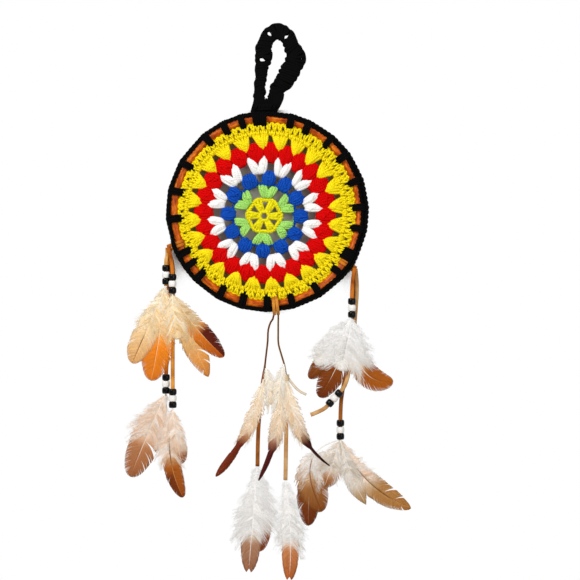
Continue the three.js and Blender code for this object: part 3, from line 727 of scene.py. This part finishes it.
# %% [markdown]
# ## The mandala
# Six rounds of crochet, each joined with a chain. A cluster is several strands that share a foot, in a gap of
# the round below, and a top under the chain. Seen close, the strands bulge forward in the middle, and the
# yarn-over of each stitch slants across them. A sculpted lump would be lighter, but real strands give the
# plump, combed look and the small dark holes. The middle hangs a little off the hoop's centre.

# %% Clusters
SAG = np.array([-2.2, 0, -4.0])
RIM = 68  # radius of the mandala's edge


def woven(radius, angle, depth):
    """A point of the mandala: on_hoop, moved by SAG, which fades towards the rim. Near the top the work is
    also pulled clockwise: the pull is a sine of the radius over the rim's, and dies away to either side of
    97 degrees as a bell curve."""
    radius, angle, depth = np.broadcast_arrays(radius, angle, depth)
    share = radius / RIM
    pull = 6 * np.sin(np.pi * np.clip(share, 0, 1)) * np.exp(-((((angle + 83) % 360 - 180) / 38) ** 2))
    fade = np.stack([1 - 0.75 * share**5, 0 * share, 1 - 0.6 * share - 0.27 * share**3], axis=-1)
    return on_hoop(radius, angle - pull, depth) + fade * SAG


def cluster(shape, q, s, lift):
    """Strands of all clusters of a round. Its shape is foot and top angles, low and high radius, half widths
    at foot, middle and top, and the bulge. q is a strand's share of the half width and s its share of the
    height, both (strands, steps). The half width is a quadratic curve of the three, the angle runs straight
    from foot to top, and the strand bulges by the sine of the height."""
    foot, top, low, high, widths, depth = shape
    half = widths[0] * (1 - s) ** 2 + 2 * widths[1] * s * (1 - s) + widths[2] * s**2
    radius = low + (high - low) * s
    angle = foot[:, None, None] + (top - foot)[:, None, None] * s + np.degrees(q * half / radius)
    bulge = (depth * (0.3 + 0.7 * np.sin(np.pi * s)) + lift) * np.sqrt(1 - 0.6 * np.clip(q, -1, 1) ** 2)
    rng = np.random.default_rng(len(foot) + q.shape[0])
    stir = rng.normal(0, 1, (len(foot), q.shape[0], 3))
    angle = angle + np.degrees(0.16 * stir[..., :1] / radius)
    bulge = bulge + 0.18 * stir[..., 1:2]
    front = woven(radius + 0.25 * stir[..., 2:], angle, -bulge)
    back = woven(radius + 0.25 * stir[..., 2:], angle, bulge)
    return np.concatenate([front, back]).reshape(-1, q.shape[1], 3)


def clusters(shape, strands, thick):
    """The posts of a round's clusters, and two slanting yarn-overs on each."""
    s = np.linspace(0, 1, 9)
    q = np.repeat(np.linspace(-1, 1, strands)[:, None], 9, axis=1)
    posts = cluster(shape, q, np.broadcast_to(s, q.shape), 0.0)
    u = np.linspace(0, 1, 7)
    cross_q = np.stack([-0.95 + 1.3 * u, -0.35 + 1.3 * u])
    cross_s = np.stack([0.3 + 0.25 * u, 0.52 + 0.22 * u])
    overs = cluster(shape, cross_q, cross_s, 0.55)
    swell = 0.72 + 0.28 * np.sin(np.pi * s)
    thin = 0.8 * thick * (0.5 + 0.5 * np.sin(np.pi * u))
    return [tubes(posts, thick * swell, sides=6), tubes(overs, thin, sides=5)]


def chain_ring(count, first, crest, valley, thick=0.8, depth=0.0):
    """The chain over a round's tops: two strands twisted round a ring that rises to crest over each
    cluster."""
    steps = count * (24 if count < 20 else 16)
    angle = np.arange(steps) * 360 / steps
    radius = (crest + valley) / 2 + (crest - valley) / 2 * np.cos(np.radians(count * (angle - first)))
    twist = np.radians(angle * count * (3 if count < 20 else 2))[None] + np.array([0, np.pi])[:, None]
    paths = woven(radius + 0.75 * np.sin(twist), angle, depth - 0.9 * np.cos(twist))
    return tubes(paths, thick, sides=6, closed=True)


# %% [markdown]
# ### The middle round
# Deep yellow: a small ring with a hole in it, six stout posts and a chain, with six holes between the posts.

# %% Middle round
DEEP_YELLOW = yarn("deep yellow acrylic yarn", "#AE9E00", "#FCF41C")
spokes = 58 + 60 * np.arange(6.0)
heart = (spokes, spokes, 4.0, 13.2, (1.4, 1.4, 2.6), 1.5)
turn = np.arange(48) * 7.5
hub = woven(3.6 + 0.25 * np.cos(np.radians(turn * 6)), turn, 0)
hubs = np.stack([hub + [0, -0.9, 0], hub + [0, 0.9, 0]])
parts = [
    *clusters(heart, 3, 1.35), tubes(hubs, 1.3, sides=8, closed=True), chain_ring(6, 58, 13.8, 12.4, 0.95),
]
piece("middle_round", parts, DEEP_YELLOW, ["centre_round_yellow"], "hoop")

# %% [markdown]
# ### Green, blue, white and red rounds
# The green and white clusters stand in pairs, two from one gap, like a V. The blue ones are plump ovals and
# the red ones fill all the room they have.

# %% Green and blue rounds
LIME = yarn("lime green acrylic yarn", "#3C8E2A", "#BEF682")
feet = np.repeat(86 + 60 * np.arange(6.0), 2) + np.tile([-6.0, 6.0], 6)
green = (feet, feet + np.tile([-7.5, 7.5], 6), 14.4, 24.2, (1.2, 3.3, 2.2), 1.8)
parts = [*clusters(green, 4, 1.2), chain_ring(12, 73, 24.2, 24.2, 0.7, 1.6)]
piece("green_round", parts, LIME, ["second_round_green"], "hoop")
BLUE = yarn("royal blue acrylic yarn", "#02125C", "#165ACC")
tops = 88 + 30 * np.arange(12.0)
blue = (tops, tops, 23.2, 34.6, (2.0, 7.3, 2.4), 2.4)
parts = [*clusters(blue, 6, 1.2), chain_ring(12, 88, 27.0, 24.8, 0.8, 0.8)]
piece("blue_round", parts, BLUE, ["third_round_blue"], "hoop")

# %% White and red rounds
WHITE = yarn("white acrylic yarn", "#DEDCD9", "#FFFFFF")
feet = np.repeat(103 + 30 * np.arange(12.0), 2) + np.tile([-3.4, 3.4], 12)
white_tops = 95.5 + 15 * np.arange(24.0)
white_arms = (feet, white_tops, 32.6, 46.2, (1.5, 2.9, 1.4), 2.4)
parts = [*clusters(white_arms, 4, 1.4), chain_ring(24, 95.5, 45.0, 43.6, 0.7, 1.4)]
piece("white_round", parts, WHITE, ["fourth_round_white"], "hoop")
RED = yarn("scarlet acrylic yarn", "#860000", "#EA0404")
tops = 88 + 15 * np.arange(24.0)
red = (tops, tops, 41.4, 56.4, (1.6, 7.7, 3.6), 2.5)
parts = [*clusters(red, 6, 1.45), chain_ring(24, 88, 52.8, 49.4, 0.9, 1.0)]
piece("red_round", parts, RED, ["fifth_round_red"], "hoop")

# %% [markdown]
# ### The outer round
# Yellow: a fan of strands rises from each gap of the red round and joins a closed band, two rows of short
# V stitches with chains between them and along the edge. The many small gaps give the band its speckled look.

# %% Outer round
YELLOW = yarn("lemon yellow acrylic yarn", "#D2AE00", "#FFEF1A")
fans = (white_tops, white_tops, 50.8, 62.6, (1.1, 3.4, 6.3), 2.8)


def v_row(count, first, low, high, rag=0.2, forward=0.0):
    """A row of V stitches, front and back: two strands from each foot to tops a third of a pitch to either
    side. rag is how unevenly the tops end."""
    u = np.linspace(0, 1, 6)
    pitch = 360 / count
    foot = first + pitch * np.arange(count)
    lean = np.array([-0.36, 0.36])[:, None] * pitch * u**0.8
    rng = np.random.default_rng(count)
    angle = foot[:, None, None] + lean[None] + rng.normal(0, 0.12 * pitch, (count, 1, 1))
    radius = low + (high - low) * u + rng.normal(0, rag, (count, 2, 1)) * u
    depth = 0.9 + 1.1 * np.sin(np.pi * u)
    both = [woven(radius, angle, side * depth - forward).reshape(-1, 6, 3) for side in (-1, 1)]
    return tubes(np.concatenate(both), 1.05 * (0.6 + 0.4 * np.sin(np.pi * u)), sides=5)


parts = [
    *clusters(fans, 6, 1.35), v_row(120, 1.0, 61.6, 65.4, 0.25), v_row(96, 2.0, 64.6, 70.4, 0.5, 0.5),
    chain_ring(48, 0, 63.0, 62.6, 0.75), chain_ring(60, 2, 65.6, 65.2, 0.9, 0.6),
    chain_ring(96, 4.1, 70.4, 69.2, 0.9, -0.6),
]
piece("outer_round", parts, YELLOW, ["outer_round_yellow"], "hoop")

# %% [markdown]
# ## Hitches
# Each tassel's laces are looped over the hoop, two turns side by side. At the bottom they lie over the black
# chain. At the sides they go round the cane alone, under the chain, so a turn is a drop: round over the cane
# and drawn out to the point where its laces hang.

# %% Hitches
BOTTOM_HITCH = 275.2
TURN_GAP = 1.35  # mm from the middle of a hitch to either turn
ROUND = [(75.9 + 6.9 * np.cos(a), -1.16 - 6.7 * np.sin(a)) for a in np.arange(12) * np.pi / 6]
DROP = [  # radius and depth
    (84.3, 0.2), (81.6, -1.3), (78.8, -1.9), (76.6, -3.6), (74.4, -4.35), (71.6, -3.4), (70.1, 0),
    (71.6, 3.4), (74.4, 4.35), (77.6, 3.3), (81.6, 1.6),
]
HITCHES = [
    ("left", LEFT_HITCH, DROP, RUSSET_SUEDE), ("centre", BOTTOM_HITCH, ROUND, AMBER_SUEDE),
    ("right", RIGHT_HITCH, DROP, RUSSET_SUEDE),
]
for name, where, outline, finish in HITCHES:
    turn = flow([*outline, outline[0]], 49)[:-1]
    place = where + np.degrees(np.array([-TURN_GAP, TURN_GAP]) / HOOP_RADIUS)[:, None]
    loops = on_hoop(turn[:, 0], place, turn[:, 1])
    outward = loops - on_hoop(75.8, place, 0)
    part = tubes(loops, 0.65, 1.3, sides=LACE_SIDES, lead=outward, closed=True, square=0.5)
    piece(f"hitch_{name}", [part], finish, [f"{name}_hitch"], "hoop")

# %% [markdown]
# ## Feathers
# Hen and cock feathers: a shaft with barbs on either side, and soft down near the quill. A flat card with a
# picture of a feather would be quick, but here each barb is a thin flat rod of its own, so the edge can
# split and fray as the real one does. Colour runs from the quill to the tip and is kept in the mesh, because
# each barb has its own shade.

# %% Feather finish
keratin, tree = material("feather keratin")
plumage = add(tree, "Attribute", attribute_name="plumage")
where = add(tree, "TexCoord").outputs["Object"]
hairs = add(tree, "TexNoise", {"Scale": 1 / (1.2 * MM), "Detail": 3}, {"Vector": where})
fade = add(tree, "ValToRGB", links={"Fac": hairs}, stops=[(0.3, "#F0F0F0"), (0.6, "#FFFFFF")])
tone = add(tree, "Mix", {0: 1.0}, {6: plumage, 7: fade}, data_type="RGBA", blend_type="MULTIPLY")
matt = {"Roughness": 0.6, "Specular IOR Level": 0.15}
shade = add(tree, "BsdfPrincipled", matt, {"Base Color": tone.outputs[2]})
add(tree, "OutputMaterial", links={"Surface": shade})
print("feather keratin")


# %% Feather outline
def shaft_curve(base, via, tip):
    """A quadratic curve as a function of t, bowed forward by up to 1.5 mm, and its directions: along and
    aside."""
    def shaft(t):
        t = np.clip(t, 0, 1)[..., None]
        bow = np.array([0, -1.5, 0]) * np.sin(np.pi * t)
        return (1 - t) ** 2 * base + 2 * t * (1 - t) * via + t**2 * tip + bow

    def ways(t):
        ahead = shaft(np.clip(t + 0.004, 0, 1)) - shaft(np.clip(t - 0.004, 0, 1))
        ahead = ahead / np.linalg.norm(ahead, axis=-1, keepdims=True)
        return ahead, np.cross(ahead, (0, 1, 0))

    return shaft, ways


def tones_at(tones, t):
    """Linear colours read off a list of (share of the length, hex), mixed evenly between neighbours."""
    codes = np.array([linear(code) for _, code in tones])
    return np.stack([np.interp(t, [place for place, _ in tones], codes[:, k]) for k in range(3)], axis=-1)


def vane_half(t, width, slim, start, blunt=0.45):
    """Half the vane's width: the sine of a power of the way from start to the tip. The less the power blunt
    of that sine is, the rounder is the tip. A hackle is soft and wide at first and ends in a blade: slim is
    the blade's share of the width and the power that says how late it is widest."""
    share = np.clip((t - start) / (1 - start), 0, 1)
    if slim:
        soft = width / 2 * np.sin(np.pi * np.clip(share / 0.74, 0, 1) ** 0.9) ** 0.7
        blade = slim[0] * width * np.sin(np.pi * share ** slim[1]) ** 0.6
        return np.maximum(np.maximum(soft, blade), 0.25)
    return np.maximum(width / 2 * np.sin(np.pi * share**1.4) ** blunt, 0.2)


# %% Vane
def vane(rng, curve, span, width, tones, slim, start, down, split, fork, dark_side, blunt):
    """Barbs in two rows. Each leaves the shaft at t and ends on the outline further on, at end, on a
    quadratic curve; the advance is about its own length and shrinks to nothing at the tip. Barbs stick
    together in clumps: split draws the ends of a clump towards its middle, less near the tip. Near the quill
    the ends stray. A forked tip has two lobes, because its last barbs leave the shaft early and keep fork mm
    off it."""
    shaft, ways = curve
    rows = 84
    t = np.tile(np.linspace(start, 0.95 if fork else 0.995, rows), 2)
    sign = np.repeat([-1.0, 1.0], rows)
    advance = (0.85 * vane_half(t, width, slim, start, blunt) + 1.2) / span * (1.6 if fork else 1)
    end = t + (1 - t) * (1 - np.exp(-advance / (1.0001 - t)))
    clump = np.cumsum(rng.random(2 * rows) < 0.05) + 500 * (sign > 0)
    middle = np.array([end[clump == c].mean() for c in clump])
    lean = rng.normal(0, 1, 1000)[clump]
    stray = np.clip(1 - t / down, 0, 1) ** 0.5
    hold = split * np.clip((0.94 - t) / 0.4, 0, 1)
    end = np.clip(end + hold * (middle - end) + rng.normal(0, 0.012, 2 * rows) * stray, 0, 1)
    uneven = 1 + 0.025 * lean + rng.normal(0, 0.02 + 0.13 * stray)
    reach = np.maximum(vane_half(end, width, slim, start, blunt) * uneven, fork)
    _, aside = ways(end)
    tip = shaft(end) + (reach * sign)[:, None] * aside
    _, aside = ways(t)
    bend = shaft(t + 0.2 * (end - t)) + (0.55 * reach * sign)[:, None] * aside
    u = np.linspace(0, 1, 6)[None, :, None]
    paths = (1 - u) ** 2 * shaft(t)[:, None] + 2 * u * (1 - u) * bend[:, None] + u**2 * tip[:, None]
    curl = (0.8 + 0.3 * lean + 0.6 * rng.normal(0, 1, 2 * rows) * stray)[:, None] * u[..., 0] ** 2
    paths[..., 1] += curl + 0.05 * (np.arange(2 * rows) % 4)[:, None]
    broad = span * 0.95 / rows * (0.8 - 0.4 * u[..., 0] ** 2) * np.ones((2 * rows, 1))
    tint = tones_at(tones, t[:, None] + (end - t)[:, None] * u[..., 0])
    tint = tint * rng.normal(1, 0.045, (2 * rows, 1, 1))
    if dark_side:
        which, begins, code = dark_side
        share = np.clip((t[:, None] + 0.1 * u[..., 0] - begins) / 0.1, 0, 1) * (sign == which)[:, None]
        tint = tint + share[..., None] * (linear(code) - tint)
    return tubes(paths, 0.08, broad, sides=4, tint=tint)


# %% Down and whole feather
def fluff(rng, curve, width, tones, start, down, hairs, puff, comb):
    """Down: thin wavy rods in locks of nine that leave the lower shaft together, at an angle within comb. A
    rod's reach aside is puff times half the width, and the wave grows along it. Raising a lock's colour to a
    power deepens it, and leaves white as it is."""
    shaft, ways = curve
    lock = np.arange(hairs) // 9
    count = lock[-1] + 1
    from_t = rng.uniform(start - 0.02, down, count)[lock] + rng.normal(0, 0.012, hairs)
    side = rng.choice([-1.0, 1.0], count)[lock]
    spread = np.radians(np.clip(rng.uniform(*comb, count)[lock] + rng.normal(0, 6, hairs), *comb))
    shape = 0.3 + 0.7 * np.sin(np.pi * np.clip((from_t - start) / (1.3 * (down - start)), 0, 1))
    reach = puff * width / 2 * shape * rng.uniform(0.6, 1.0, count)[lock] * rng.uniform(0.7, 1.1, hairs)
    u = np.linspace(0, 1, 8)
    phase = rng.random(count)[lock] + rng.normal(0, 0.06, hairs)
    wave = rng.uniform(0.3, 1.0, hairs)[:, None] * np.sin(2 * np.pi * (1.3 * u + phase[:, None])) * u
    ahead, aside = ways(from_t)
    forward = np.minimum(reach / np.tan(spread), 14)[:, None] * u**1.15 + wave
    outward = reach[:, None] * u**0.9
    depth = rng.normal(0, 1.0, count)[lock][:, None] * u + rng.normal(0, 0.35, hairs)[:, None] * u
    paths = shaft(from_t)[:, None] + forward[..., None] * ahead[:, None]
    paths = paths + (outward * side[:, None])[..., None] * aside[:, None]
    paths[..., 1] += np.clip(depth, -2.2, 1.6)
    shade = rng.uniform(0.84, 1.03, count)[lock] * rng.normal(1.0, 0.03, hairs)
    deep = rng.uniform(0.4, 2.2, count)[lock]
    tint = (tones_at(tones, 0.6 * from_t) ** deep[:, None] * shade[:, None])[:, None] * np.ones((1, 8, 1))
    return tubes(paths, 0.19 * (1 - 0.6 * u), sides=3, tint=tint)


def plume(
    seed, base, via, tip, width, tones, slim=None, start=0.04, down=0.5, hairs=450, puff=1.1, comb=(26, 74),
    split=0.05, fork=0, dark_side=None, stem=None, blunt=0.45,
):
    """A whole feather: vane, down and the shaft, a rod that thins towards the tip. stem is the shaft's own
    colours."""
    rng = np.random.default_rng(seed)
    curve = shaft_curve(base, via, tip)
    span = np.linalg.norm(tip - base)
    t = np.linspace(0, 0.92 if fork else 1, 20)
    rib = curve[0](t)[None] + np.array([0, -0.12, 0])
    rib_tint = tones_at(stem or tones, t[None] * (1 if stem or slim else 0.7))
    shaft = tubes(rib, 0.48 * (1 - t) ** 0.8 + 0.08, sides=5, tint=rib_tint)
    return [
        vane(rng, curve, span, width, tones, slim, start, down, split, fork, dark_side, blunt),
        fluff(rng, curve, width, tones, start, down, hairs, puff, comb), shaft,
    ]


# %% [markdown]
# Each feather starts in the lowest bead or under a tie. Its bend and width are those of its solid in the
# measured model, and its colours run from the down to the tip. Ten more fill out the groups. A row gives the
# feather, its lace, the point that its bend leans to and its tip (x and z from the start), its width and how
# far behind the lace it starts.

# %% Feathers in the measured model
CREAM = [(0, "#FFF4DC"), (0.45, "#FCE4B8")]
BEIGE = [(0, "#F6E6C8"), (0.45, "#E4C694")]
BLUSH = [(0, "#FCEFE2"), (0.5, "#F2DDCA")]
SNOW = [(0, "#FFFFFF"), (0.58, "#F7F5F2")]
STRAW = [(0, "#FEF4E2"), (0.5, "#F6E0C6")]
HACKLE = {"down": 0.55, "puff": 1.0, "hairs": 600, "comb": (14, 50)}
FEATHERS = [
    ("left_upper_tan_feather", "left_upper_rear", (-16, -36), (-27, -61), 20, -1,
     CREAM + [(0.7, "#F2C88E"), (1, "#E0A868")],
     {"puff": 1.2, "stem": [(0, "#FFF4DC"), (0.55, "#F0D0A0"), (0.66, "#7A4210"), (1, "#A06A30")]}),
    ("left_upper_orange_feather", "left_upper_rear", (-4, -40), (-12, -75), 24, 0.2,
     CREAM + [(0.5, "#F8B45E"), (0.64, "#F28C1E"), (1, "#DC7A1C")],
     {"stem": [(0, "#FFF4DC"), (1, "#FAC078")]}),
    ("left_upper_brown_feather", "left_upper_front", (15, -26), (41, -50), 16, 0.2,
     BEIGE + [(0.5, "#E0A868"), (0.64, "#DC7A1E"), (1, "#B04E0C")],
     {"puff": 0.8, "dark_side": (1, 0.54, "#5E1A06")}),
    ("left_upper_pale_feather", "left_upper_front", (12, -30), (28.5, -66), 18, 1.4,
     BEIGE + [(0.6, "#E8BC80"), (0.8, "#E8A050"), (1, "#CE7E34")], {"split": 0.5, "blunt": 0.65}),
    ("left_lower_wide_feather", "left_lower_rear", (-15, -32), (-28.5, -66.5), 24, 0,
     BLUSH + [(0.58, "#D8AE8C"), (0.66, "#BC8054"), (1, "#A4643A")],
     {"puff": 1.45, "hairs": 700, "split": 0.2}),
    ("left_lower_rust_feather", "left_lower_front", (-8, -40), (8.4, -71), 14, 0,
     BLUSH + [(0.54, "#D0A070"), (0.64, "#B0601C"), (1, "#9A4A10")],
     {"puff": 1.9, "hairs": 600, "dark_side": (-1, 0.66, "#7A360C"),
      "stem": [(0, "#C8A078"), (0.5, "#7A3C10"), (0.7, "#D89858"), (1, "#C07830")]}),
    ("centre_left_hackle", "centre_left", (-5, -40), (-38, -78), 12, -1.6,
     STRAW + [(0.58, "#C08860"), (0.66, "#70260E"), (1, "#7A2C0A")], {**HACKLE, "slim": (0.26, 4.2)}),
    ("centre_inner_hackle", "centre_right", (-3, -49), (-21.6, -85), 14, -1.6,
     STRAW + [(0.62, "#A06850"), (0.7, "#54140E"), (1, "#4A0E08")], {**HACKLE, "slim": (0.15, 2.2)}),
    ("centre_right_hackle", "centre_right", (4, -51), (35, -73), 13, -2.8,
     STRAW + [(0.6, "#A07858"), (0.67, "#401008"), (1, "#2E0A08")], {**HACKLE, "slim": (0.08, 2.2)}),
    ("centre_left_long_feather", "centre_left", (-4, -42), (-7, -85), 17, -0.2,
     SNOW + [(0.68, "#DCC8B8"), (0.74, "#B88A6C"), (1, "#A06848")],
     {"down": 0.62, "hairs": 800, "puff": 2.1, "fork": 1.7}),
    ("centre_left_short_feather", "centre_left", (5, -36), (1.5, -68), 17, 1.1,
     SNOW + [(0.74, "#CDB4A0"), (0.82, "#964A20"), (1, "#8A4018")], {"down": 0.7, "hairs": 700, "puff": 1.9}),
    ("centre_right_feather", "centre_right", (6, -42), (3, -80), 14, 0,
     SNOW + [(0.64, "#EBC4A8"), (0.7, "#D08A58"), (1, "#B85E22")],
     {"down": 0.6, "hairs": 700, "puff": 2.1, "fork": 1.6}),
    ("right_upper_dark_feather", "right_upper", (-8, -38), (-26, -63), 20, 2.4,
     SNOW[:1] + [(0.46, "#E8DCD0"), (0.54, "#A0622C"), (0.62, "#8A4610"), (1, "#6E2C06")],
     {"down": 0.45, "hairs": 420, "split": 0.3}),
    ("right_upper_brown_feather", "right_upper", (1, -56), (33, -50), 19, 0.6,
     SNOW[:1] + [(0.42, "#F0E4D4"), (0.5, "#C89050"), (0.6, "#A85A16"), (1, "#B4600E")],
     {"down": 0.45, "hairs": 560, "puff": 1.2}),
    ("right_lower_dark_feather", "right_lower", (-28, -14), (-25.5, -69), 20, 0.8,
     SNOW[:1] + [(0.45, "#F0E4D8"), (0.58, "#B88050"), (0.68, "#8A4A16"), (1, "#6E2C04")],
     {"start": 0.25, "down": 0.6, "puff": 1.2,
      "stem": [(0, "#FFFFFF"), (0.5, "#F0E4D8"), (1, "#8A4A16")]}),
    ("right_lower_tan_feather", "right_lower", (16, -38), (56.5, -55), 18, -0.5,
     BLUSH + [(0.54, "#D8BE9C"), (0.64, "#BC8A52"), (1, "#B47838")],
     {"puff": 1.2, "split": 0.25, "blunt": 0.6,
      "stem": [(0, "#E8DCC8"), (0.5, "#8A5A20"), (0.75, "#6E3A08"), (0.85, "#D8A868"), (1, "#C89050")]}),
]
SLOTS = {row["node"]: row["material_slot"] for row in frame["record"]["subparts"]}
print(len(FEATHERS), "feathers stand for solids")

# %% Feathers that fill out the groups
FEATHERS += [
    ("left_upper_middle", "left_upper_front", (1, -20), (5, -36), 16, -1.0,
     CREAM + [(1, "#F6DCB0")], {"down": 0.8, "hairs": 620, "puff": 1.3}),
    ("left_lower_cream", "left_lower_front", (2, -24), (7.5, -44), 15, -1.2,
     BLUSH + [(0.76, "#DCC4AC"), (0.86, "#A8622E"), (1, "#6E2A0C")], {"down": 0.55}),
    ("right_upper_middle", "right_upper", (-3, -21), (-9, -42), 28, -0.6,
     SNOW + [(1, "#F4F2EE")], {"down": 0.76, "hairs": 1400, "puff": 1.9}),
    ("right_upper_side", "right_upper", (-14, -27), (-34, -48), 15, 3.0,
     SNOW[:1] + [(0.5, "#E8DCD0"), (0.58, "#A87040"), (0.7, "#8A4A14"), (1, "#7A3A0C")], {"hairs": 380}),
    ("right_lower_front", "right_lower", (-40, -8), (-14.5, -57.5), 24, -0.2,
     SNOW[:1] + [(0.5, "#F6EEE6"), (0.7, "#CFA880"), (0.8, "#A8703C"), (1, "#8A4A16")],
     {"start": 0.34, "down": 0.6, "puff": 0.8,
      "stem": [(0, "#FFFFFF"), (0.4, "#F4ECE4"), (0.48, "#9A6A38"), (0.6, "#6E2C04"), (1, "#4A1C04")]}),
    ("centre_left_fluff", "centre_left", (5, -9), (5.5, -30), 9, -0.8,
     [(0, "#FFFDF6"), (1, "#F4E2C6")], {"down": 0.9, "hairs": 380, "puff": 1.3, "comb": (14, 50)}),
    ("centre_right_fluff", "centre_right", (-4, -12), (-5, -36), 10, -3.2,
     [(0, "#FFFDF6"), (1, "#F4E2C6")], {"down": 0.9, "hairs": 420, "puff": 1.3, "comb": (14, 50)}),
    ("right_lower_white", "right_lower", (-5, -16), (-13, -38), 20, 0.2,
     [(0, "#F6F0E8"), (0.66, "#E8DED2"), (0.84, "#B88050"), (1, "#8A4A16")],
     {"down": 0.62, "hairs": 600, "puff": 1.3}),
    ("right_lower_middle", "right_lower", (6, -26), (20.5, -51.7), 15, -1.7,
     [(0, "#F4EEE6"), (0.7, "#E4DCD0"), (0.85, "#C8A880"), (1, "#B88850")], {"down": 0.6, "blunt": 0.9}),
    ("right_upper_fan", "right_upper", (-11, -14), (-29, -37), 17, -0.9,
     SNOW + [(1, "#EEEAE4")], {"down": 0.85, "hairs": 800, "puff": 1.3}),
]
print(len(FEATHERS), "feathers in all")

# %% Feathers on their laces
TIED_AT = {  # mm down the lace, for those that are tied on above its end
    "centre_left_hackle": 52, "centre_inner_hackle": 48, "centre_right_hackle": 48,
    "centre_left_fluff": 43, "centre_right_fluff": 40,
}
LEAN = {"left_upper_middle": -4}  # mm at the tip, clear of the group behind
FIRST_SEED = 20


def point_at(line, distance):
    """The point of a line that lies a distance down it."""
    return even(line, FINE)[int(round(distance / length_of(line) * (FINE - 1)))]


for i, (name, lace, via, tip, width, back, tones, more) in enumerate(FEATHERS):
    line = LINES[lace]
    base = line[-1] + [0, 0, -0.4]
    body = f"{lace}_feathers"
    if name in TIED_AT:
        base = point_at(line, TIED_AT[name])
        body = "centre_tassel"
    base = base + [0, back, 0]
    lean = LEAN.get(name, 0)
    ends = [base, base + [via[0], lean, via[1]], base + [tip[0], lean, tip[1]]]
    parts = plume(FIRST_SEED + i, *ends, width, tones, **more)
    made = piece(f"plume_{name}", parts, keratin, [name] if name in SLOTS else [], body)
    made.visible_shadow = False  # thin barbs let the light through

# %% [markdown]
# ## Thread tie
# Thin cream thread binds two hackles to their lace, turn beside turn, and a doubled end is left hanging
# out. It is a cotton of two plies, which show every 0.9 mm, with painted shade in the grooves between them.

# %% Tie
THREAD_RADIUS = 0.42
TIE_AT = 50.9  # mm down the lace
thread, tree = material("cotton thread")
ply = plies(tree, count=2, step=0.9)
cream = [(0.0, "#C9AE84"), (0.7, "#F4E4C4")]
# painted shade: the ramp darkens the grooves between the plies
surface(tree, ply, cream, strength=0.4, depth=0.1, values={"Roughness": 0.8})
middle = point_at(LINES["centre_right"], TIE_AT) + [0, -1.6, 0]
spin = np.linspace(0, 12 * np.pi, 150)
wind = middle + np.stack([2.35 * np.cos(spin), 2.9 * np.sin(spin), np.linspace(2.3, -2.3, 150)], -1)
tail = flow(middle + np.array([[2.3, 0, 0], [6.5, -0.4, -5.6], [11, -0.2, -10], [16.6, 0, -13]]), 24)
tails = np.stack([tail, tail + [-0.8, 0.5, -0.9]])
parts = [tubes(wind[None], THREAD_RADIUS, sides=6, lead=(0, 0, 1)), tubes(tails, THREAD_RADIUS, sides=6)]
piece("tie", parts, thread, ["centre_right_tie"], "centre_tassel")
